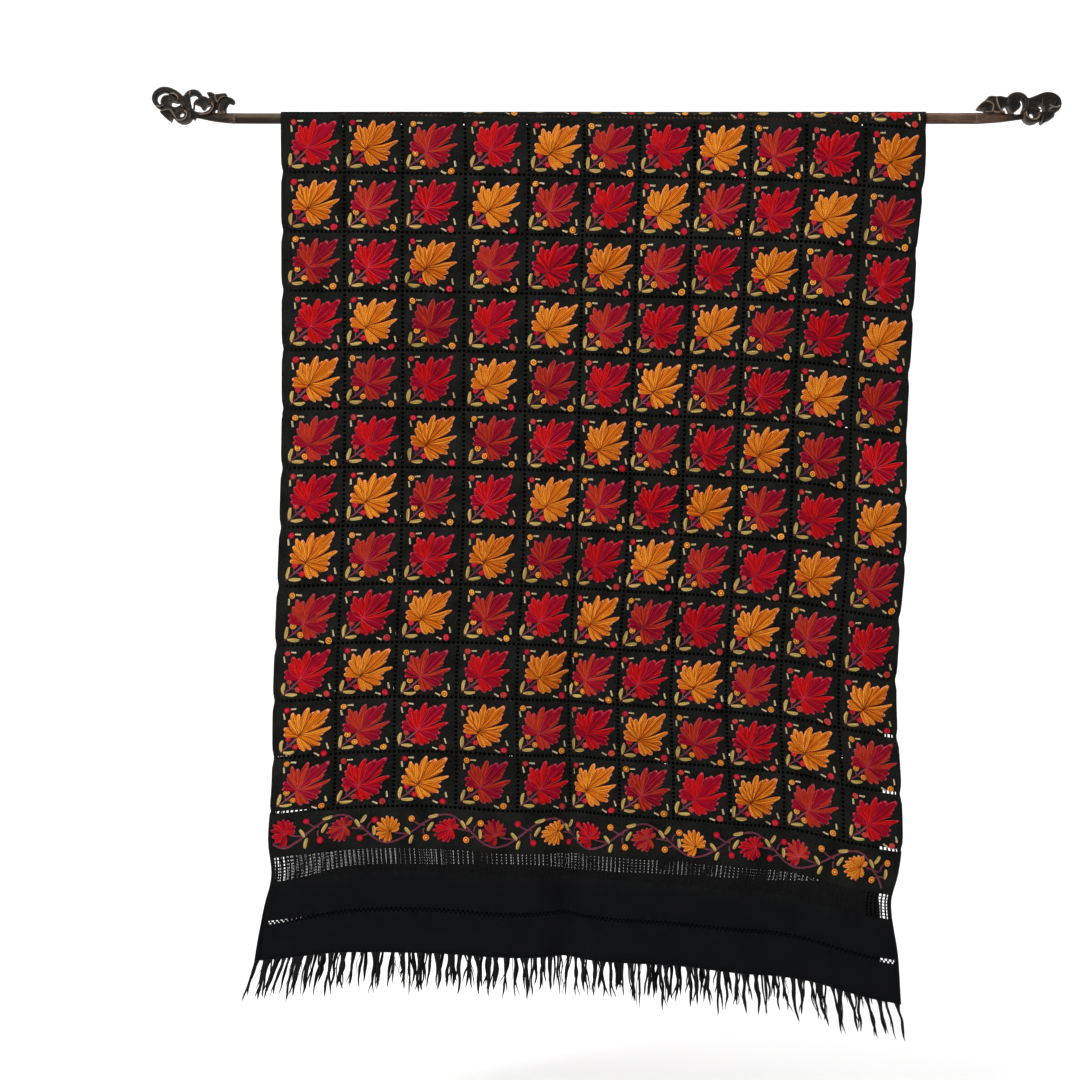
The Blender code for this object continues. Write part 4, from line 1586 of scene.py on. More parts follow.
class Needlework:
    """Stamps laid out over the flat cloth, joined into one piece and hung."""

    def __init__(self) -> None:
        """Start with nothing laid out."""
        self.copies: list[tuple[Stamp, ndarray, ndarray]] = []

    def lay(self, stamp: Stamp, flat: ndarray, shift: Pair = (0.0, 0.0)) -> None:
        """Lay one copy of a stamp on the cloth.

        Args:
            stamp: The stamp.
            flat: Its points in the flat layout, in metres.
            shift: How far its stitches are moved along and across, so that copies differ.
        """
        self.copies.append((stamp, flat, stamp.thread + np.array(shift)))

    def mesh(self, name: str, place: ndarray) -> Mesh:
        """The joined mesh of all copies at the given points.

        Args:
            name: The mesh's name.
            place: The points of all copies, in the order in which they were laid.

        Returns:
            The mesh, shaded smooth, with its UV map.
        """
        def joined(key: str) -> ndarray:
            """One array of every stamp, end to end."""
            return np.concatenate([getattr(stamp, key) for stamp, _, _ in self.copies])

        counts = [len(stamp.points) for stamp, _, _ in self.copies]
        corner_counts = [len(stamp.corners) for stamp, _, _ in self.copies]
        corners = joined("corners") + np.repeat(np.cumsum([0, *counts[:-1]]), corner_counts)
        sizes = joined("sizes")
        mesh = bpy.data.meshes.new(name)
        mesh.vertices.add(len(place))
        mesh.vertices.foreach_set("co", place.ravel())
        mesh.loops.add(len(corners))
        mesh.loops.foreach_set("vertex_index", corners)
        mesh.polygons.add(len(sizes))
        mesh.polygons.foreach_set("loop_start", np.concatenate([[0], np.cumsum(sizes)[:-1]]))
        mesh.polygons.foreach_set("material_index", joined("parts"))
        mesh.update(calc_edges=True)
        thread = np.concatenate([thread for _, _, thread in self.copies])
        mesh.uv_layers.new(name="UVMap").data.foreach_set("uv", thread[corners].ravel())
        rim = mesh.attributes.new("rim", "FLOAT", "POINT")
        rim.data.foreach_set("value", joined("rim"))
        mesh.validate()
        mesh.shade_smooth()
        return mesh

    def hang(self, name: str, drape: Drape, materials: list[Material],
             **facts: object) -> Object:
        """Hang all that is laid out, as one piece."""
        flat = np.concatenate([points for _, points, _ in self.copies])
        return new_piece(name, self.mesh(name, drape.hang(flat)), materials, **facts)


@dataclass
class Embroidery:
    """The leaves between the drawn lines and the vine border near each end.

    Apart from ground, its sizes are in millimetres, and its turns in degrees.
    """

    cut: ClothCut
    drape: Drape
    threads: Threads
    ground: float = 0.35 * MM
    height: float = 0.95
    vein_from_left: float = 25.6
    vein_above_line: float = 27.0
    narrower: float = 0.98
    lower: float = 0.955
    last_aside: float = 3.6
    wander: float = 0.7
    usual_column: float = 64.0
    spare_to_left: float = 0.35
    tight_column: float = 62.5
    squeeze: float = 0.008
    leaf_turn: float = 1.6
    small_leaf_turn: float = 5
    warp: float = 0.55
    fine_warp: float = 0.3
    high_rise: float = 0.5
    low_rise: float = -1.6
    over_vine: float = 0.15
    from_selvage: float = 1.0
    swing: float = 16.4
    low_gap: float = 64.0
    high_gap: float = 50.0

    LEAF = [
        Finger((-0.5, -2.0), (-18.8, 0.2), 8.6, 0.6, 1),
        Finger((-0.5, -1.0), (-18.9, 7.4), 8.8, 0.4, 1),
        Finger((-0.8, 0.0), (-14.6, 17.4), 8.4, 0.4, 0),
        Finger((0.0, 0.0), (-10.6, 26.2), 8.6, -1.2, 0),
        Finger((0.2, 0.4), (-3.6, 24.2), 8.4, -0.8, 0),
        Finger((0.4, 0.4), (8.0, 32.6), 8.8, -1.0, 0),
        Finger((0.6, 0.4), (14.2, 27.2), 8.6, 0.2, 1),
        Finger((0.8, 0.2), (19.6, 29.4), 9.4, -0.6, 1),
        Finger((1.0, 0.0), (31.2, 31.6), 10.2, 0.4, 1),
        Finger((1.0, 0.0), (28.4, 22.4), 8.6, -0.4, 0),
        Finger((1.2, -0.2), (26.6, 16.6), 7.4, -0.6, 0),
        Finger((0.8, -0.8), (34.2, 9.0), 6.6, 1.9, 0),
        Finger((0.6, -1.0), (26.4, 2.2), 8.0, 1.0, 1),
        Finger((0.4, -1.4), (25.8, -5.2), 8.4, 0.4, 1),
        Finger((0.0, -1.8), (23.6, -12.2), 8.8, 0.6, 1),
        Finger((-1.4, -2.4), (13.2, -18.6), 8.6, 0.8, 0),
        Finger((-1.8, -2.6), (5.4, -20.8), 8.4, 0.6, 0),
    ]
    VEINS = [
        [(-2.6, -4.8), (0.0, 0.0), (8.5, 8.2), (17.0, 17.0), (25.6, 26.0)],
        [(-0.4, -0.4), (0.6, 7.0), (1.6, 14.0), (1.9, 21.0)],
        [(-1.2, -0.8), (-5.4, 7.0), (-7.6, 14.0), (-8.6, 20.2)],
        [(0.4, 0.0), (10.4, 3.8), (19.2, 8.0), (25.4, 11.8)],
        [(0.2, -0.6), (9.0, 0.0), (18.6, 2.2), (25.0, 4.6)],
        [(-0.2, -1.2), (8.4, -3.2), (16.2, -5.8), (22.0, -8.4)],
        [(-1.2, -2.4), (5.2, -7.6), (11.4, -12.0), (17.2, -15.2)],
        [(-1.6, -1.8), (-7.4, 1.6), (-12.6, 7.2), (-15.0, 12.6)],
        [(0.8, 1.4), (5.4, 10.0), (9.4, 18.4), (11.8, 25.0)],
    ]
    STEMS = [
        ([(-2.2, -4.2), (-6.8, -8.8), (-12.8, -14.4)], (3.0, 2.4), 1.0),
        ([(-12.2, -14.0), (-17.6, -18.2), (-22.8, -22.4)], (2.0, 1.2), 0.7),
        ([(-12.7, -6.4), (-13.6, -10.0), (-13.2, -13.8)], (1.3, 1.6), 0.7),
        ([(-4.6, -14.8), (-8.8, -14.4), (-12.6, -13.8)], (1.3, 1.6), 0.7),
    ]
    BERRIES = [(-12.8, -5.4, 3.7), (-4.4, -15.0, 3.7), (-16.4, 29.4, 3.6), (27.6, -23.0, 4.0)]
    OLIVE_SLIPS = [Finger((-21.2, -20.2), (-19.0, -6.4), 4.7, -0.5, 0),
                   Finger((-19.0, -21.6), (-5.6, -20.6), 4.6, 0.6, 0)]
    STRAW_SLIPS = [((-12.2, 30.8), (-6.0, 30.8)), ((-20.0, 25.8), (-19.0, 18.6)),
                   ((30.8, -10.6), (32.4, -17.6)), ((16.4, -22.8), (22.2, -25.6))]

    VINE = [
        (17.0, Kind.RED), (79.0, Kind.RUST), (130.0, Kind.ORANGE), (194.2, Kind.RED),
        (247.2, Kind.RUST), (314.7, Kind.ORANGE), (360.6, Kind.RED), (423.9, Kind.RUST),
        (477.9, Kind.ORANGE), (542.5, Kind.RED), (594.8, Kind.RUST), (661.1, Kind.ORANGE)]
    SMALL_LEAVES = {
        False: ((3.1, -2.8), [
            (1.3, -13.8), (-4.2, -14.1), (-9.7, -9.9), (-12.8, -4.7), (-13.6, 1.9), (-11.3, 8.6),
            (-6.9, 13.4), (-1.1, 15.4), (4.7, 14.1), (10.3, 11.0), (13.5, 6.0), (13.2, 0.6)]),
        True: ((5.5, 1.6), [
            (12.6, 7.4), (7.4, 13.4), (1.6, 12.6), (-3.8, 10.6), (-8.8, 7.2), (-13.0, 2.4),
            (-14.4, -3.0), (-12.0, -8.6), (-7.4, -12.2), (-2.0, -14.0), (3.6, -14.0), (9.6, -9.4)]),
    }
    TWIGS = {
        False: (
            [[(40.7, 3.1), (33.4, 4.0), (27.6, 7.6)], [(39.7, 0.0), (39.0, -4.0), (40.6, -8.0)],
             [(7.0, -5.0), (15.0, -6.4), (24.7, -6.6)]],
            [(25.6, 10.2), (42.2, -10.6)],
            [((24.7, -7.6), (18.6, 0.2)), ((27.9, -8.2), (24.6, -17.8)),
             ((43.6, 12.2), (54.8, 15.4)), ((49.7, 6.9), (43.8, -3.4))]),
        True: (
            [[(28.6, -0.6), (30.0, 4.8), (33.4, 8.0)], [(33.4, -6.4), (28.4, -6.6), (23.6, -8.8)],
             [(12.2, 1.0), (20.0, 0.2), (27.6, -1.6)]],
            [(36.0, 9.0), (21.2, -10.6)],
            [((21.1, 6.4), (26.4, 15.2)), ((20.4, 1.6), (14.8, 10.2)), ((36.0, -8.0), (35.2, 2.4))]),
    }

    def leaf(self, kind: Kind) -> Stamp:
        """The leaf with its stem, berries and small leaves, for one colouring.

        Args:
            kind: The colouring.

        Returns:
            The stamp, round the meeting point of the leaf's veins.
        """
        bed = StitchBed()
        for number, finger in enumerate(self.LEAF):
            fill = Part.DEEP if finger.part else Part.BRIGHT
            bed.petal(finger, fill, Part.OUTLINE, self.height * (1.0 + 0.12 * (number % 3)))
        wide = (2.2, 1.0) if kind is Kind.ORANGE else (1.0, 0.6)
        for route in self.VEINS:
            bed.cord(route, wide, self.height + 0.42, Part.VEIN, lift=0.8)
        for route, widths, share in self.STEMS:
            bed.cord(route, widths, share * self.height, Part.STEM)
        for x, y, radius in self.BERRIES:
            bed.berry(x, y, radius, self.height)
        for finger in self.OLIVE_SLIPS:
            bed.petal(finger, Part.OLIVE, Part.OLIVE, self.height, belly=0.5, foot=0.45, crown=0.45)
        for a, b in self.STRAW_SLIPS:
            middle = ((a[0] + b[0]) / 2, (a[1] + b[1]) / 2)
            bed.cord([a, middle, b], (1.9, 2.4), 0.8 * self.height, Part.STRAW)
        return bed.finish()

    def leaves(self, side: Side, kind: Kind, number: int, chance: Generator) -> Object:
        """All leaves of one colouring on one side of the crest, as one piece.

        Args:
            side: The side of the crest.
            kind: The colouring.
            number: Its place in the sequence that repeats along rows and columns.
            chance: The source of the small differences between copies.

        Returns:
            The piece.
        """
        stamp, work = self.leaf(kind), Needlework()
        rows = range(self.cut.rows) if side is Side.FRONT else range(-self.cut.rows, 0)
        for row in rows:
            for column in range(self.cut.columns):
                if (column + row) % len(Kind) != number:
                    continue
                left, right, top, foot = self.cut.cell(column, row)
                tall = (foot - top) / self.cut.long_row
                x, y, out = stamp.points.T
                x, y = turned(x, y, radians(chance.normal(0, self.leaf_turn)))
                waves = chance.uniform(0, 2 * pi, 4)
                fine = self.fine_warp
                x = x + self.warp * np.sin(y / 8 + waves[0]) + fine * np.sin(y / 3.1 + x / 4 + waves[1])
                y = y + self.warp * np.sin(x / 7 + waves[2]) + fine * np.sin(x / 3.3 - y / 4 + waves[3])
                spare = ((right - left) / MM - self.usual_column) * self.spare_to_left
                spare += self.last_aside if column == self.cut.columns - 1 else 0.0
                centre = left / MM + self.vein_from_left + spare + chance.normal(0, self.wander)
                rise = self.vein_above_line + chance.normal(0, self.wander)
                wide = self.narrower + min(0.0, (right - left) / MM - self.tight_column) * self.squeeze
                y = foot - (rise + y * self.lower) * tall * MM
                flat = np.column_stack([(centre + x * wide) * MM, y, out * MM + self.ground])
                work.lay(stamp, flat, tuple(chance.uniform(0, 40, 2)))
        name = f"leaves_{kind.name.lower()}_{side.name.lower()}"
        return work.hang(name, self.drape, self.threads.materials(kind.value))

    def small_leaf(self, high: bool) -> Stamp:
        """A small leaf of the vine border, a fan of narrow lobes on a short stem.

        Args:
            high: Whether it hangs under a high bend of the vine, or stands over a low one.

        Returns:
            The stamp, round its middle.
        """
        bed = StitchBed()
        root, tips = self.SMALL_LEAVES[high]
        for number, tip in enumerate(tips):
            base = Vector(root) + 0.05 * (Vector(tip) - Vector(root))
            fill = Part.DEEP if number % 3 == 1 else Part.BRIGHT
            bed.petal(Finger(base, tip, 5.4, 0.3 * (-1) ** number, 0), fill, Part.OUTLINE,
                      self.height * (1 + 0.14 * (number % 2)), rim_from=0.62)
        for first, last in zip(tips, tips[1:]):
            run = (Vector(first) + Vector(last)) / 2 - Vector(root)
            route = [Vector(root) + share * run for share in (0.0, 0.35, 0.7)]
            bed.cord(route, (0.9, 0.5), self.height + 0.4, Part.VEIN, lift=0.8)
        return bed.finish()

    def vine_height(self, x: float) -> float:
        """The vine's height at a place across the cloth, from one leaf's middle to the next."""
        places = [place for place, _ in self.VINE]
        i = between(0, sum(x > place for place in places) - 1, len(places) - 2)
        share = (x - places[i]) / (places[i + 1] - places[i])
        return self.swing * cos(pi * share) * (1 if i % 2 else -1)

    def vine_stamp(self) -> Stamp:
        """The whole vine of one border: its wave, twigs, berries and small leaves."""
        bed = StitchBed()
        first, last = self.VINE[0][0], self.VINE[-1][0]
        xs = np.linspace(first, last, 100)
        wave = [(x, self.vine_height(x)) for x in xs]
        start = [(first - 11.5, -self.swing + 3.6), (first - 6.5, -self.swing + 1.4)]
        end = [(last + x, self.swing - y) for x, y in ((8, 1.5), (15, 8), (21, 17), (29, 25), (36, 34))]
        bed.cord(start + wave + end, (2.3, 2.1), self.height, Part.STEM)
        for number, (place, _) in enumerate(self.VINE):
            high = number % 2 == 1
            gap = self.VINE[number + 1][0] - place if number + 1 < len(self.VINE) else self.high_gap
            scale = gap / (self.high_gap if high else self.low_gap)
            body, ring = (Part.BERRY, Part.RING) if number % 4 in (0, 1) else (Part.BRIGHT, Part.DEEP)
            twigs, berries, leaves = self.TWIGS[high]
            for route in twigs:
                route = [(place + scale * x, y) for x, y in route]
                bed.cord(route, (2.0, 1.5), 0.85 * self.height, Part.STEM)
            for x, y in berries:
                bed.berry(place + scale * x, y, 3.7, self.height, body, ring)
            for ends in leaves:
                foot, tip = ((place + scale * x, y) for x, y in ends)
                bed.petal(Finger(foot, tip, 4.6, 0.4, 0), Part.OLIVE, Part.OLIVE, self.height,
                          belly=0.5, foot=0.4, crown=0.4)
        return bed.finish()

    def vine(self, side: Side, chance: Generator) -> list[Object]:
        """One vine border: the vine itself and its twelve leaves.

        Args:
            side: The end of the cloth. The back end's border is turned half round.
            chance: The source of the small differences between leaves.

        Returns:
            The pieces.
        """
        def place(x: ndarray, y: ndarray, out: ndarray) -> ndarray:
            """The flat place of points given in millimetres from the border's middle line."""
            flat = np.column_stack([x * MM, self.cut.vine_middle - y * MM, out * MM + self.ground])
            return self.cut.at_end(side, flat)

        name = side.name.lower()
        stamp, work = self.vine_stamp(), Needlework()
        work.lay(stamp, place(*stamp.points.T))
        made = [work.hang(f"vine_{name}", self.drape, self.threads.materials(VINE_WOOLS))]
        for kind in Kind:
            work = Needlework()
            for number, (centre, colouring) in enumerate(self.VINE):
                if colouring is not kind:
                    continue
                stamp = self.small_leaf(number % 2 == 1)
                x, y, out = stamp.points.T
                x, y = turned(x, y, radians(chance.normal(0, self.small_leaf_turn)))
                x = x + centre + 0.4 * np.sin(y / 4 + chance.uniform(0, 6))
                y = y + (self.high_rise if number % 2 else self.low_rise) + chance.normal(0, 0.5)
                flat = place(np.clip(x, self.from_selvage, None), y, out + self.over_vine)
                work.lay(stamp, flat, tuple(chance.uniform(0, 30, 2)))
            materials = self.threads.materials(kind.value)
            made.append(work.hang(f"vine_leaves_{kind.name.lower()}_{name}", self.drape, materials))
        return made

    def build(self, side: Side) -> list[Object]:
        """All needlework on one side of the crest."""
        chance = np.random.default_rng(7 if side is Side.FRONT else 19)
        made = [self.leaves(side, kind, number, chance) for number, kind in enumerate(Kind)]
        return made + self.vine(side, chance)


class Yarn(NamedTuple):
    """The shape of one yarn of a fringe, with sizes in millimetres."""

    root: float
    lean: float
    length: float
    radius: float
    wave: float
    fork: float


@dataclass
class Fringe:
    """Loose yarns at a hem: thick tapered clumps, thinner yarns beside them, and stray ends.

    Sizes are in millimetres. forked, paired and stray are the shares of the clumps that have
    a second yarn from the same root, one beside it, and a thin loose end.
    """

    cut: ClothCut
    drape: Drape
    clumps: int = 68
    sides: int = 6
    steps: int = 12
    length: float = 46.0
    tip: float = 0.16
    from_selvage: float = 1.6
    forked: float = 0.5
    paired: float = 0.42
    stray: float = 0.30
    left_lean: float = -13.0
    right_lean: float = 11.0
    lean_reach: float = 150.0

    def yarn(self) -> Stamp:
        """One straight yarn of unit length and unit radius, its root at 0."""
        bm = bmesh.new()
        bmesh.ops.create_cone(bm, cap_ends=True, segments=self.sides, radius1=1.0, radius2=1.0, depth=1.0)
        long_edges = [edge for edge in bm.edges if abs(edge.verts[0].co.z - edge.verts[1].co.z) > 0.5]
        bmesh.ops.subdivide_edges(bm, edges=long_edges, cuts=self.steps - 1, use_grid_fill=True)
        thread = bm.verts.layers.float_vector.new("thread")
        for vert in bm.verts:
            vert.co.z += 0.5
            angle = atan2(vert.co.y, vert.co.x) / pi
            vert[thread] = Vector((abs(angle), vert.co.z * 12, 0.0))
        return Stamp(bm, thread)

    def strand(self, stamp: Stamp, yarn: Yarn, chance: Generator) -> ndarray:
        """The flat points of one yarn.

        Args:
            stamp: The straight yarn.
            yarn: Its shape.
            chance: The source of its waves.

        Returns:
            One point a row.
        """
        round_x, round_y, t = stamp.points.T
        winding, (phase, other) = tau * chance.uniform(0.5, 1.3), chance.uniform(0, tau, 2)
        sway = yarn.wave * (np.sin(winding * t + phase) - sin(phase)) * np.minimum(1, 2.2 * t)
        sway += 0.3 * np.sin(2.7 * tau * t + other) * t
        sway += yarn.fork * np.clip((t - 0.45) / 0.55, 0, 1) ** 1.3
        forth = 0.9 * (np.sin(winding * t + other) - sin(other)) * np.minimum(1, 2 * t)
        body = (1 - t**3.4) ** 0.8 * (1 + 0.18 * np.sin(9 * t + other))
        radius = self.tip + (yarn.radius - self.tip) * body
        flare = 1 + 0.75 * np.exp(-((t / 0.09) ** 2))
        return np.column_stack([
            (yarn.root + sway + yarn.lean * t + radius * flare * round_x) * MM,
            self.cut.half_length - 0.8 * MM + yarn.length * t * MM,
            (forth + np.minimum(radius, 1.0) * round_y) * MM])

    def clump(self, centre: float, chance: Generator) -> list[Yarn]:
        """The yarns that hang from one place of the hem.

        Args:
            centre: The place across the cloth.
            chance: The source of their number and shapes.

        Returns:
            The yarns.
        """
        width = self.cut.width / MM
        lean = self.left_lean * max(0.0, 1 - centre / self.lean_reach) ** 1.5
        lean += self.right_lean * max(0.0, 1 - (width - centre) / self.lean_reach)
        lean += chance.normal(0, 2.6)
        stout = chance.uniform(1.3, 2.5)
        length = self.length * chance.uniform(0.78, 1.08)
        yarns = [Yarn(centre, lean, length, stout, chance.uniform(0.4, 1.5), 0.0)]
        if chance.random() < self.forked:
            yarns.append(Yarn(centre, lean, length * chance.uniform(0.84, 1.02), 0.7 * stout, yarns[0].wave,
                              chance.choice((-1, 1)) * chance.uniform(2.8, 6.0)))
        if chance.random() < self.paired:
            away = chance.choice((-1, 1)) * chance.uniform(3.0, 5.2)
            yarns.append(Yarn(centre + away, lean - away * chance.uniform(0.3, 1.8),
                              length * chance.uniform(0.75, 1.0), chance.uniform(0.7, 1.2),
                              chance.uniform(0.5, 1.6), 0.0))
        if chance.random() < self.stray:
            yarns.append(Yarn(centre + chance.uniform(-2, 2), lean + chance.normal(0, 4.5),
                              length * chance.uniform(0.6, 1.05), chance.uniform(0.34, 0.5), 1.2, 0.0))
        return yarns

    def build(self, side: Side, yarn: Material) -> Object:
        """The fringe of one hem.

        Args:
            side: The end of the cloth. The back end's fringe is turned half round.
            yarn: The fringe's material.

        Returns:
            The piece.
        """
        chance = np.random.default_rng(31 if side is Side.FRONT else 47)
        stamp, work = self.yarn(), Needlework()
        width = self.cut.width / MM
        pitch = width / self.clumps
        for number in range(self.clumps):
            centre = (number + 0.5 + chance.uniform(-0.26, 0.26)) * pitch
            for shape in self.clump(centre, chance):
                root = between(self.from_selvage, shape.root, width - self.from_selvage)
                flat = self.strand(stamp, shape._replace(root=root), chance)
                work.lay(stamp, self.cut.at_end(side, flat), (0.0, chance.uniform(0, 5)))
        name = side.name.lower()
        return work.hang(f"loose_fringe_{name}", self.drape, [yarn], slot="fringe_yarn",
                         nodes=(f"fringe_{name}",))


class Ribbon(NamedTuple):
    """A carved band along a route, in millimetres from the rod's axis.

    The widths are those at the start, half way and at the end, and the depths those at
    the start and at the end.
    """

    route: Route
    widths: tuple[float, float, float]
    depths: Pair


class Ring(NamedTuple):
    """A carved ring, in millimetres from the rod's axis."""

    x: float
    z: float
    radius: float
    width: float
    depth: float


class CarvedLeaf(NamedTuple):
    """A hollowed leaf cut to an outline, in millimetres from the rod's axis."""

    depth: float
    outline: Route


@dataclass
class CarvedEnd:
    """A carved end: bands, rings and leaves on a tapered root that meets the rod, and raised lines."""

    name: str
    root: Ribbon
    ribbons: list[Ribbon]
    rings: list[Ring]
    leaves: list[CarvedLeaf]
    lines: list[Route]
    line_sizes: Pair = (1.15, 17.8)
    steps: int = 48
    section_steps: int = 24
    groove: float = 0.07
    round_share: float = 0.07
    end_depth: float = 0.35
    rim: float = 1.0 * MM
    hollow: float = 0.5 * MM
    rounding: float = 0.9 * MM
    voxel: float = 0.55 * MM
    kept: float = 0.4
    bare_near: float = 430 * MM
    bare_far: float = 452 * MM
    line_worn: float = 0.75 * MM
    line_out: float = 6.5 * MM
    root_reach: float = 6.3 * MM

    def route(self, points: Route) -> ndarray:
        """A smooth, evenly divided curve through a route's points.

        Args:
            points: The route's points.

        Returns:
            One point a row, in metres.
        """
        known = np.array(points) * MM
        known = np.vstack([2 * known[0] - known[1], known, 2 * known[-1] - known[-2]])
        fine = []
        for p0, p1, p2, p3 in zip(known, known[1:], known[2:], known[3:]):
            t = np.linspace(0, 1, 12, endpoint=False)[:, None]
            fine.append(0.5 * (2 * p1 + (p2 - p0) * t + (2 * p0 - 5 * p1 + 4 * p2 - p3) * t**2
                               + (3 * p1 - p0 - 3 * p2 + p3) * t**3))
        curve = np.vstack([*fine, known[-2][None]])
        far = np.concatenate([[0], np.cumsum(np.linalg.norm(np.diff(curve, axis=0), axis=1))])
        even = np.linspace(0, far[-1], self.steps + 1)
        return np.column_stack([np.interp(even, far, curve[:, axis]) for axis in (0, 1)])

    def sweep(self, bm: BMesh, ribbon: Ribbon, groove: float, round_start: bool = True) -> None:
        """Sweep a rounded, grooved section along a route.

        Args:
            bm: The bmesh that takes it.
            ribbon: Its route and sizes.
            groove: How deep the groove along both faces is, as a share of the half depth.
            round_start: Whether its start is rounded off as its end is.
        """
        curve = self.route(ribbon.route)
        ahead = np.gradient(curve, axis=0)
        ahead /= np.linalg.norm(ahead, axis=1)[:, None]
        made = bmesh.ops.create_grid(
            bm, x_segments=self.section_steps, y_segments=self.steps, size=1.0)["verts"]
        power = 0.6 if groove else 1.0
        for vert in made:
            around = pi * (vert.co.x + 1)
            step = round((vert.co.y + 1) / 2 * self.steps)
            t = step / self.steps
            half = float(np.interp(t, (0, 0.5, 1), ribbon.widths)) / 2 * MM
            deep = float(np.interp(t, (0, 1), ribbon.depths)) / 2 * MM
            end = 1.0
            for from_end in (1 - t, t) if round_start else (1 - t,):
                end *= sqrt(max(0.0, 1 - max(0.0, 1 - from_end / self.round_share) ** 2))
            side, front = (copysign(abs(f(around)) ** power, f(around)) for f in (cos, sin))
            front *= 1 - groove * exp(-((side / 0.4) ** 2))
            x = curve[step, 0] - ahead[step, 1] * half * end * side
            z = curve[step, 1] + ahead[step, 0] * half * end * side
            vert.co = (x, front * deep * (self.end_depth + (1 - self.end_depth) * end), z)
        bmesh.ops.remove_doubles(bm, verts=made, dist=0.02 * MM)
        bmesh.ops.holes_fill(bm, edges=[edge for edge in bm.edges if edge.is_boundary], sides=0)

    def turn_ring(self, bm: BMesh, ring: Ring) -> None:
        """Turn a ring, by sweeping its section once round.

        Args:
            bm: The bmesh that takes it.
            ring: Its place and sizes.
        """
        route = tuple((ring.x + ring.radius * cos(a), ring.z + ring.radius * sin(a))
                      for a in np.linspace(0, 2 * pi, 13))
        self.sweep(bm, Ribbon(route, (ring.width,) * 3, (ring.depth,) * 2), self.groove, round_start=False)

    def leaf(self, bm: BMesh, leaf: CarvedLeaf) -> None:
        """Cut a leaf to its outline, hollow both its faces and round its rims.

        Args:
            bm: The bmesh that takes it.
            leaf: Its outline and depth.
        """
        face = bm.faces.new([bm.verts.new((x * MM, leaf.depth / 2 * MM, z * MM)) for x, z in leaf.outline])
        front = only_verts(bmesh.ops.extrude_face_region(bm, geom=[face])["geom"])
        bmesh.ops.translate(bm, verts=front, vec=(0, -leaf.depth * MM, 0))
        bmesh.ops.recalc_face_normals(bm, faces=bm.faces)
        bmesh.ops.bevel(bm, geom=bm.edges[:], offset=self.rounding, offset_type="OFFSET", affect="EDGES",
                        segments=2, profile=0.5, material=-1, clamp_overlap=True)
        for side in sorted(bm.faces, key=lambda flat: -flat.calc_area())[:2]:
            bmesh.ops.inset_region(bm, faces=[side], thickness=self.rim, depth=0.0, use_even_offset=True)
            bmesh.ops.inset_region(bm, faces=[side], thickness=0.8 * self.rim, depth=-self.hollow)

    def fused(self, bm: BMesh) -> Mesh:
        """One skin round all the overlapping shapes of a bmesh, which is freed.

        Args:
            bm: The shapes.

        Returns:
            The skin.
        """
        block = bpy.data.objects.new(self.name + "_rough", to_mesh(bm, self.name + "_rough"))
        bpy.context.scene.collection.objects.link(block)
        remesh = block.modifiers.new("skin", "REMESH")
        remesh.mode = "VOXEL"
        remesh.voxel_size = self.voxel
        smooth = block.modifiers.new("smooth", "SMOOTH")
        smooth.factor, smooth.iterations = 0.5, 2
        fewer = block.modifiers.new("fewer", "DECIMATE")
        fewer.ratio = self.kept
        skin = bpy.data.meshes.new_from_object(block.evaluated_get(bpy.context.evaluated_depsgraph_get()))
        bpy.data.objects.remove(block)
        return skin

    def mark_edges(self, bm: BMesh) -> None:
        """Keep where edges and raised lines are rubbed pale, and where the root still shows the rod's own
        wood.
        """
        layer, line, bare = (bm.verts.layers.float.new(name) for name in ("edge", "line", "bare"))
        raised = np.vstack([self.route(route) for route in self.lines])
        stands = {}
        for vert in bm.verts:
            near = [edge.other_vert(vert).co for edge in vert.link_edges]
            stands[vert] = (vert.co - sum(near, Vector()) / len(near)).dot(vert.normal)
        for _ in range(2):
            stands = {vert: stand / 2 + sum(stands[edge.other_vert(vert)] for edge in vert.link_edges)
                      / len(vert.link_edges) / 2 for vert, stand in stands.items()}
        full = float(np.percentile(list(stands.values()), 93))
        axis = self.route(self.root.route)
        for vert, stand in stands.items():
            off, away = (np.hypot(*(curve - vert.co.xz).T).min() for curve in (raised, axis))
            near = (self.bare_far - abs(vert.co.x)) / (self.bare_far - self.bare_near)
            vert[layer] = between(-1.0, stand / full, 1.0)
            vert[line] = between(0.0, 1.4 - off / self.line_worn, 1.0) * (abs(vert.co.y) > self.line_out)
            vert[bare] = between(0.0, near, 1.0) * (away < self.root_reach)

    @staticmethod
    def join(bm: BMesh, part: BMesh) -> None:
        """Add a closed shape to a bmesh, its faces outwards, and free it."""
        bmesh.ops.recalc_face_normals(part, faces=part.faces)
        mesh = to_mesh(part, "carved_part")
        bm.from_mesh(mesh)
        bpy.data.meshes.remove(mesh)

    def build(self, wood: Material) -> Object:
        """The carved end.

        Args:
            wood: Its material.

        Returns:
            The piece.
        """
        width, depth = self.line_sizes
        lines = [Ribbon(line, (width,) * 3, (depth,) * 2) for line in self.lines]
        makers = (([self.root], partial(self.sweep, groove=0.0, round_start=False)),
                  (self.ribbons, partial(self.sweep, groove=self.groove)), (self.rings, self.turn_ring),
                  (self.leaves, self.leaf), (lines, partial(self.sweep, groove=0.0)))
        bm = bmesh.new()
        for shapes, make in makers:
            for shape in shapes:
                part = bmesh.new()
                make(part, shape)
                self.join(bm, part)
        mesh = self.fused(bm)
        bm = bmesh.new()
        bm.from_mesh(mesh)
        bm.normal_update()
        self.mark_edges(bm)
        bm.to_mesh(mesh)
        bm.free()
        mesh.shade_smooth()
        return new_piece(f"carved_{self.name}", mesh, [wood], "carved_wood", (self.name,))


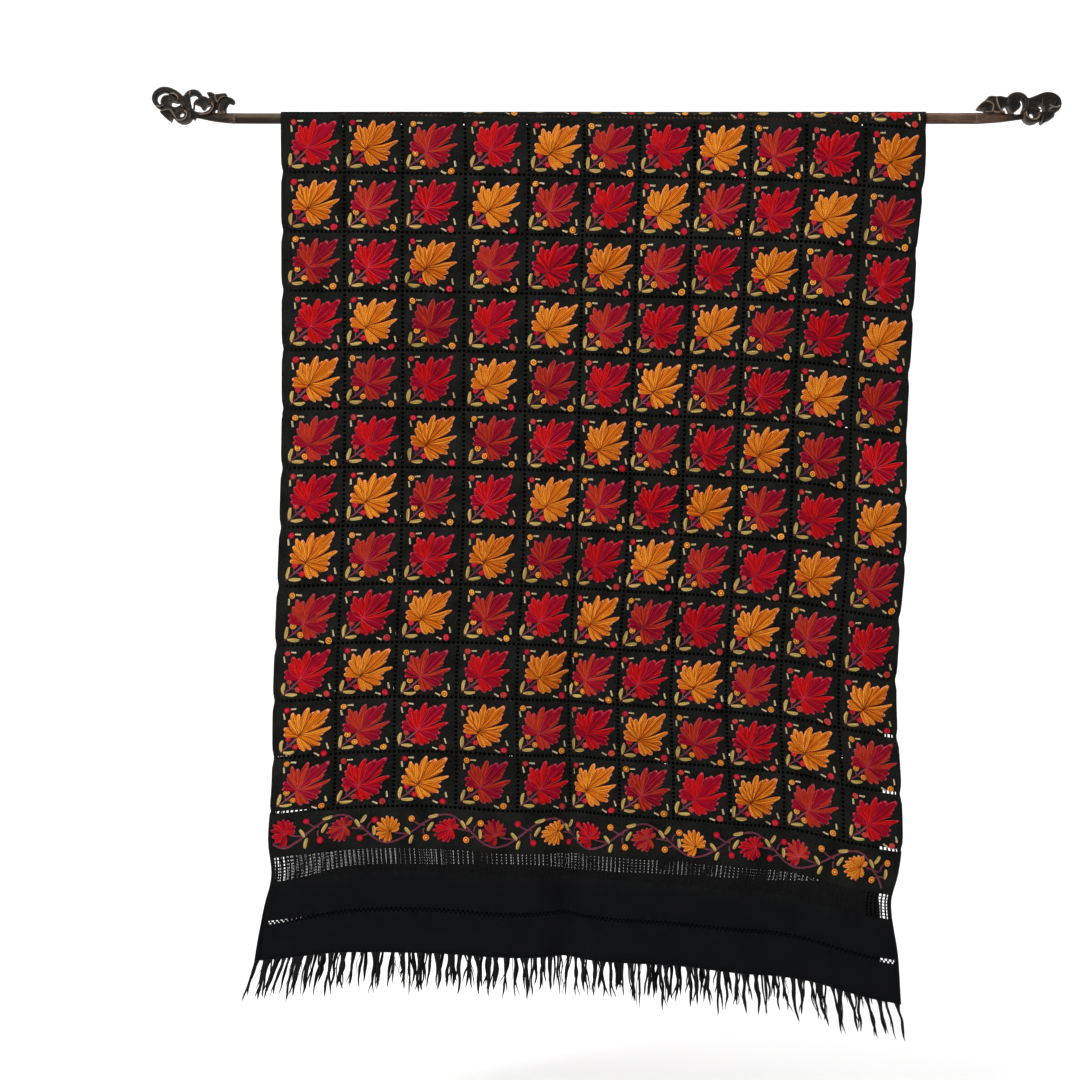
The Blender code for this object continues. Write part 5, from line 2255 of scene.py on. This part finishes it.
LEFT_END = CarvedEnd(
    "finial_left",
    Ribbon((
        (-409.8, 0.0), (-420.0, 0.3), (-432.0, 1.2), (-444.0, 2.4), (-455.5, 3.4), (-461.0, 3.6)),
        (12.2, 9.6, 4.0), (12.2, 6.0)),
    [
        Ribbon((
            (-490.6, 10.2), (-496.6, 15.0), (-499.4, 21.0), (-497.6, 26.6), (-492.6, 30.4),
            (-486.8, 31.4), (-480.6, 29.8), (-475.4, 27.0), (-471.0, 23.2), (-468.4, 18.8),
            (-467.2, 14.4), (-466.4, 9.6)), (5.0, 6.6, 6.4), (15.0, 17.0)),
        Ribbon((
            (-491.0, 9.6), (-486.0, 10.4), (-480.4, 8.4), (-477.4, 3.8), (-474.2, -0.4), (-470.2, -3.0),
            (-465.6, -3.4), (-461.8, -1.4), (-460.4, 2.2), (-461.0, 7.0), (-462.5, 11.4)),
            (2.8, 6.2, 6.4), (14.0, 16.6)),
        Ribbon((
            (-464.2, 26.2), (-463.4, 19.7), (-462.4, 13.4), (-460.9, 7.8), (-456.5, 4.4), (-450.0, 2.8)),
            (6.6, 7.6, 4.6), (16.6, 12.0)),
        Ribbon((
            (-464.6, 22.6), (-461.2, 26.8), (-456.1, 28.4), (-451.5, 27.0), (-448.8, 23.4),
            (-449.2, 20.6)), (5.6, 6.8, 5.4), (16.4, 14.0)),
        Ribbon((
            (-455.5, 17.4), (-455.7, 13.4), (-456.0, 9.6)), (1.6, 1.3, 1.6), (9.0, 9.0)),
        Ribbon((
            (-461.2, 17.2), (-460.3, 11.4), (-456.4, 6.8), (-450.1, 4.7), (-444.4, 4.6), (-439.0, 6.8),
            (-435.6, 10.8), (-434.6, 15.9), (-436.4, 20.4)), (3.4, 3.4, 4.2), (14.0, 15.0)),
        Ribbon((
            (-434.2, 4.6), (-433.6, 10.8), (-432.6, 15.3), (-430.4, 19.4)),
            (2.8, 2.8, 3.6), (12.0, 12.0)),
        Ribbon((
            (-424.2, 3.2), (-425.0, 9.0), (-424.2, 13.6), (-421.9, 17.4), (-418.2, 19.4), (-414.4, 18.8),
            (-411.2, 15.6)), (9.8, 10.2, 4.8), (14.0, 10.0)),
    ],
    [
        Ring(-469.0, 3.4, 4.7, 4.2, 15.0),
    ],
    [
        CarvedLeaf(13.0, (
            (-491.7, 21.0), (-488.8, 24.5), (-484.4, 25.4), (-479.3, 24.7), (-475.8, 22.0),
            (-472.3, 18.9), (-470.4, 17.2), (-473.0, 16.8), (-476.8, 17.3), (-480.7, 18.6),
            (-481.6, 15.9), (-481.1, 14.3), (-479.3, 12.6), (-476.8, 10.9), (-477.4, 8.3), (-480.6, 8.3),
            (-485.7, 9.6), (-488.8, 11.5), (-491.1, 13.4), (-492.6, 17.2))),
        CarvedLeaf(13.0, (
            (-479.3, 12.0), (-476.1, 11.6), (-471.7, 13.2), (-469.2, 14.6), (-466.0, 12.8),
            (-465.4, 9.0), (-468.5, 8.2), (-472.3, 7.8), (-475.5, 5.0), (-477.8, 7.7))),
        CarvedLeaf(12.0, (
            (-493.3, 7.0), (-486.3, 9.2), (-482.5, 8.9), (-479.6, 7.0), (-477.4, 2.6), (-479.3, 0.0),
            (-480.9, -4.7), (-483.7, -2.5), (-487.9, 0.7), (-491.7, 4.5))),
        CarvedLeaf(14.0, (
            (-455.5, 16.9), (-453.9, 19.1), (-450.8, 21.0), (-447.6, 23.2), (-444.4, 23.9),
            (-440.6, 22.6), (-437.4, 19.7), (-436.8, 15.9), (-438.7, 14.0), (-441.9, 13.1),
            (-443.8, 9.3), (-446.6, 9.3), (-448.2, 12.8), (-450.1, 13.7), (-453.9, 15.0))),
        CarvedLeaf(13.0, (
            (-441.6, 27.6), (-438.1, 28.8), (-434.3, 27.8), (-432.2, 26.0), (-430.6, 22.2),
            (-429.4, 18.0), (-433.0, 15.5), (-436.4, 19.5), (-439.5, 23.5))),
        CarvedLeaf(12.0, (
            (-432.8, 26.0), (-426.0, 26.9), (-420.3, 27.3), (-418.8, 25.4), (-423.5, 22.8),
            (-427.0, 20.6), (-429.2, 17.8), (-431.8, 20.6))),
        CarvedLeaf(9.0, (
            (-433.4, 17.0), (-428.0, 17.0), (-427.4, 9.6), (-433.6, 9.6))),
        CarvedLeaf(9.0, (
            (-459.0, 3.0), (-452.0, 2.0), (-454.0, -0.6), (-455.2, -2.8), (-457.4, -0.4))),
    ],
    [
        ((-497.7, 13.3), (-492.6, 12.0), (-489.4, 13.6)),
        ((-493.2, 6.9), (-485.6, 8.5), (-481.2, 8.2), (-477.4, 3.1), (-475.5, -0.1)),
        ((-474.8, -1.9), (-470.4, -3.2), (-465.3, -1.3), (-463.1, 3.8), (-465.3, 7.6)),
        ((-459.6, 28.6), (-459.6, 26.6), (-459.7, 24.6)),
        ((-435.5, 15.8), (-433.3, 12.6), (-436.1, 7.6), (-439.9, 4.4), (-448.8, 3.4)),
        ((-432.3, 26.0), (-430.7, 20.3), (-429.1, 16.5)),
        ((-429.1, 16.5), (-426.6, 20.9), (-422.8, 23.1), (-417.7, 23.1)),
        ((-483.1, 26.0), (-477.4, 26.3), (-473.6, 23.4), (-472.9, 19.6)),
    ])
RIGHT_END = CarvedEnd(
    "finial_right",
    Ribbon((
        (407.3, 0.0), (418.0, 0.2), (430.0, 0.5), (442.0, 0.9), (454.0, 1.4), (464.0, 1.8)),
        (12.8, 10.2, 4.6), (12.8, 6.4)),
    [
        Ribbon((
            (443.6, 13.0), (443.5, 18.0), (444.9, 22.0), (448.9, 25.0), (454.6, 25.6), (459.9, 23.4),
            (462.6, 19.7), (463.4, 14.9), (462.2, 9.5), (459.4, 4.4)), (5.0, 6.2, 5.8), (17.0, 17.0)),
        Ribbon((
            (462.0, 8.4), (462.2, 1.8), (465.0, -2.2), (469.6, -3.8), (473.8, -2.2), (477.0, 2.1),
            (478.6, 7.1)), (6.2, 7.0, 5.6), (17.0, 16.0)),
        Ribbon((
            (466.0, 19.4), (472.3, 21.1), (477.7, 23.3), (483.1, 25.2), (488.5, 25.6), (493.9, 23.8),
            (497.8, 20.6), (499.3, 15.6), (498.0, 11.4), (494.4, 8.7), (489.2, 8.2), (483.4, 8.6)),
            (5.6, 6.6, 5.6), (16.0, 17.0)),
        Ribbon((
            (479.2, 5.0), (477.9, -0.4), (476.8, -4.4)), (3.0, 2.6, 1.8), (15.0, 12.0)),
        Ribbon((
            (429.6, 23.0), (431.2, 16.3), (433.5, 10.9), (437.0, 7.2), (440.4, 5.2)),
            (3.0, 3.2, 2.2), (17.0, 14.0)),
    ],
    [
        Ring(469.4, 2.6, 4.8, 4.2, 14.0),
    ],
    [
        CarvedLeaf(14.0, (
            (408.6, 9.4), (410.3, 13.4), (414.7, 17.5), (419.1, 20.0), (423.5, 18.2), (426.4, 14.9),
            (425.5, 10.9), (424.5, 6.2), (418.6, 5.4), (417.2, 8.3), (412.0, 8.9))),
        CarvedLeaf(15.0, (
            (418.4, 19.4), (420.8, 23.3), (424.9, 24.3), (429.5, 23.6), (431.0, 16.3), (433.3, 10.9),
            (437.6, 5.5), (431.0, 5.1), (426.6, 5.8), (426.4, 14.9), (423.5, 18.2))),
        CarvedLeaf(14.4, (
            (429.3, 23.4), (433.7, 24.1), (439.8, 22.7), (443.6, 21.8), (443.6, 14.6), (440.4, 11.6),
            (437.4, 11.2), (434.2, 10.6), (431.0, 16.3))),
        CarvedLeaf(15.6, (
            (443.1, 21.0), (449.2, 24.0), (456.0, 22.7), (458.9, 20.5), (455.5, 17.8), (457.0, 14.6),
            (456.6, 11.6), (454.2, 9.0), (450.5, 6.4), (448.4, 3.8), (445.4, 3.4), (444.2, 7.8),
            (442.3, 12.4))),
        CarvedLeaf(15.6, (
            (462.4, 21.5), (467.5, 21.7), (472.3, 23.1), (477.7, 24.4), (481.1, 22.4), (481.0, 14.0),
            (476.8, 13.6), (475.6, 11.6), (477.2, 9.6), (479.0, 9.2), (478.8, 7.6), (474.6, 7.4),
            (468.8, 8.8), (463.6, 7.6), (461.8, 13.6))),
        CarvedLeaf(15.0, (
            (480.0, 7.4), (487.8, 9.1), (494.8, 7.1), (493.6, 0.7), (490.1, -2.0), (485.1, -4.0),
            (481.1, -7.1), (479.0, -5.4), (479.6, -0.6))),
        CarvedLeaf(14.6, (
            (479.9, 21.4), (485.1, 24.5), (491.6, 24.0), (495.0, 21.0), (496.4, 17.4), (494.6, 15.2),
            (492.6, 18.4), (491.0, 17.6), (493.2, 14.6), (496.2, 12.7), (492.4, 9.4), (487.2, 8.2),
            (483.0, 8.8), (480.6, 15.0))),
    ],
    [
        ((419.2, 17.7), (422.7, 17.3), (426.4, 13.9), (425.7, 8.4), (424.7, 5.7)),
        ((429.8, 21.1), (430.9, 16.0), (433.6, 9.8), (439.1, 4.3)),
        ((462.3, 5.7), (463.7, 1.6), (469.2, -1.8), (474.6, -1.1), (477.4, 3.0)),
        ((489.0, 13.9), (491.7, 11.9), (488.3, 9.1)),
        ((491.7, 11.9), (496.0, 11.2), (500.0, 13.0)),
        ((449.2, 3.0), (452.8, 3.0), (458.2, 4.3)),
    ])


@dataclass
class Rod:
    """The round rod, shaved by hand, a little thicker to the right."""

    left_radius: float = 5.95 * MM
    right_radius: float = 6.3 * MM
    sides: int = 40
    steps: int = 80
    waver: float = 0.10 * MM

    def build(self, wood: Material) -> Object:
        """The rod between the two carved ends.

        Args:
            wood: Its material.

        Returns:
            The piece.
        """
        low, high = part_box("rod")
        bm = bmesh.new()
        turn = Matrix.Rotation(pi / 2, 4, "Y")
        place = Matrix.Translation(((low.x + high.x) / 2, 0, 0))
        bmesh.ops.create_cone(bm, cap_ends=True, segments=self.sides, radius1=self.left_radius,
                              radius2=self.right_radius, depth=high.x - low.x, matrix=place @ turn)
        long_edges = [edge for edge in bm.edges if abs(edge.verts[0].co.x - edge.verts[1].co.x) > 0.1]
        bmesh.ops.subdivide_edges(bm, edges=long_edges, cuts=self.steps - 1, use_grid_fill=True)
        for vert in bm.verts:
            angle = atan2(vert.co.y, vert.co.z)
            shaved = 1 - self.waver / self.right_radius * (
                1 + sin(31 * vert.co.x + 2 * angle) * cos(3 * angle - 17 * vert.co.x))
            vert.co.y *= shaved
            vert.co.z *= shaved
        mesh = to_mesh(bm, "rod_shaft")
        mesh.set_sharp_from_angle(angle=radians(40))
        return new_piece("rod_shaft", mesh, [wood], "rod_wood", ("rod",))


@dataclass
class Studio:
    """A pale sweep of paper, soft lights and the camera."""

    floor: float = -1.12
    wall: float = 1.9
    half_width: float = 3.6
    near: float = -4.0
    bend: float = 0.7
    rise: float = 3.0
    eye: tuple[float, float, float] = (-0.0735, -2.5, -0.466)
    view_width: float = 1.194
    sensor: float = 36.0

    def paper(self) -> None:
        """The floor, bent up into a backdrop that hides nothing when it is seen from behind."""
        bm = bmesh.new()
        foot = self.wall - self.bend
        verts = [bm.verts.new((-self.half_width, y, self.floor)) for y in (self.near, foot)]
        bm.edges.new(verts)
        swept = bmesh.ops.spin(bm, geom=[verts[1]], cent=(-self.half_width, foot, self.floor + self.bend),
                               axis=(1, 0, 0), angle=pi / 2, steps=16, use_duplicate=False)
        raised = bmesh.ops.extrude_vert_indiv(bm, verts=only_verts(swept["geom_last"]))["verts"]
        bmesh.ops.translate(bm, verts=raised, vec=(0, 0, self.rise))
        side = bmesh.ops.extrude_edge_only(bm, edges=bm.edges[:])["geom"]
        bmesh.ops.translate(bm, verts=only_verts(side), vec=(2 * self.half_width, 0, 0))
        bmesh.ops.recalc_face_normals(bm, faces=bm.faces)
        bmesh.ops.reverse_faces(bm, faces=bm.faces)
        mesh = to_mesh(bm, "paper_sweep")
        made = Surface("studio_paper", 0.9)
        fibre = made.graph.noise(made.place(False), 3.0, 2.0)
        away = made.graph.add("ShaderNodeNewGeometry").outputs["Backfacing"]
        made.give(Base_Color=made.graph.blend(fibre, (0.86, 0.86, 0.86), (0.89, 0.89, 0.89)),
                  Alpha=made.graph.math("SUBTRACT", 1.0, away))
        mesh.materials.append(made.data)
        paper = bpy.data.objects.new("paper_sweep", mesh)
        bpy.context.scene.collection.objects.link(paper)

    def light(self, name: str, place: tuple[float, float, float], aim: tuple[float, float, float],
              size: float, power: float) -> None:
        """A square soft light.

        Args:
            name: Its name.
            place: Where it stands.
            aim: The point that it faces.
            size: The length of its side.
            power: Its power in watts.
        """
        data = bpy.data.lights.new(name, "AREA")
        data.size = size
        data.energy = power
        lamp = bpy.data.objects.new(name, data)
        lamp.location = place
        lamp.rotation_euler = (Vector(aim) - Vector(place)).to_track_quat("-Z", "Y").to_euler()
        bpy.context.scene.collection.objects.link(lamp)

    def camera(self) -> None:
        """The camera, level and square to the rod."""
        data = bpy.data.cameras.new("camera")
        data.sensor_width = self.sensor
        data.lens = self.sensor * abs(self.eye[1]) / self.view_width
        eye = bpy.data.objects.new("camera", data)
        eye.location = self.eye
        eye.rotation_euler = (pi / 2, 0, 0)
        bpy.context.scene.collection.objects.link(eye)
        bpy.context.scene.camera = eye

    def build(self) -> None:
        """Set up the whole studio."""
        self.paper()
        self.light("key_light", (-1.9, -2.3, 1.2), (0, 0, -0.45), 1.3, 92)
        self.light("fill_light", (2.2, -2.2, 0.2), (0, 0, -0.5), 2.0, 20)
        self.light("backdrop_light", (0, 0.4, 2.2), (0, 1.4, -0.8), 3.2, 80)
        world = bpy.data.worlds.new("soft_studio")
        world.use_nodes = True
        sky = world.node_tree.nodes["Background"]
        sky.inputs["Color"].default_value = (1.0, 1.0, 1.0, 1.0)
        sky.inputs["Strength"].default_value = 0.40
        bpy.context.scene.world = world
        bpy.context.scene.view_settings.view_transform = "Standard"
        self.camera()


def main() -> None:
    """Build the studio, the rod, the cloth, its needlework and its fringes."""
    logging.basicConfig(level=logging.INFO, format="%(message)s")
    Studio().build()
    shop = Workshop()
    threads = Threads(shop)
    cut = ClothCut()
    drape = Drape(cut)
    carved = WoodFinish("carved_dark_wood", linear(11, 9, 7), linear(32, 26, 20),
                        linear(150, 126, 108), 0.35, True).build(shop)
    shaved = WoodFinish("rod_brown_wood", ROD_TONES.dark, ROD_TONES.light,
                        linear(108, 86, 68), 0.06, False).build(shop)
    LEFT_END.build(carved)
    RIGHT_END.build(carved)
    Rod().build(shaved)
    sheets = ClothSheets(cut, drape)
    cloth = sheets.build(WoolFinish().build(shop))
    yarn = YarnFinish().build(shop)
    for side in Side:
        work = Embroidery(cut, drape, threads).build(side)
        fringe = Fringe(cut, drape).build(side, yarn)
        lace = sheets.lace_threads(side, yarn)


if __name__ == "__main__":
    main()
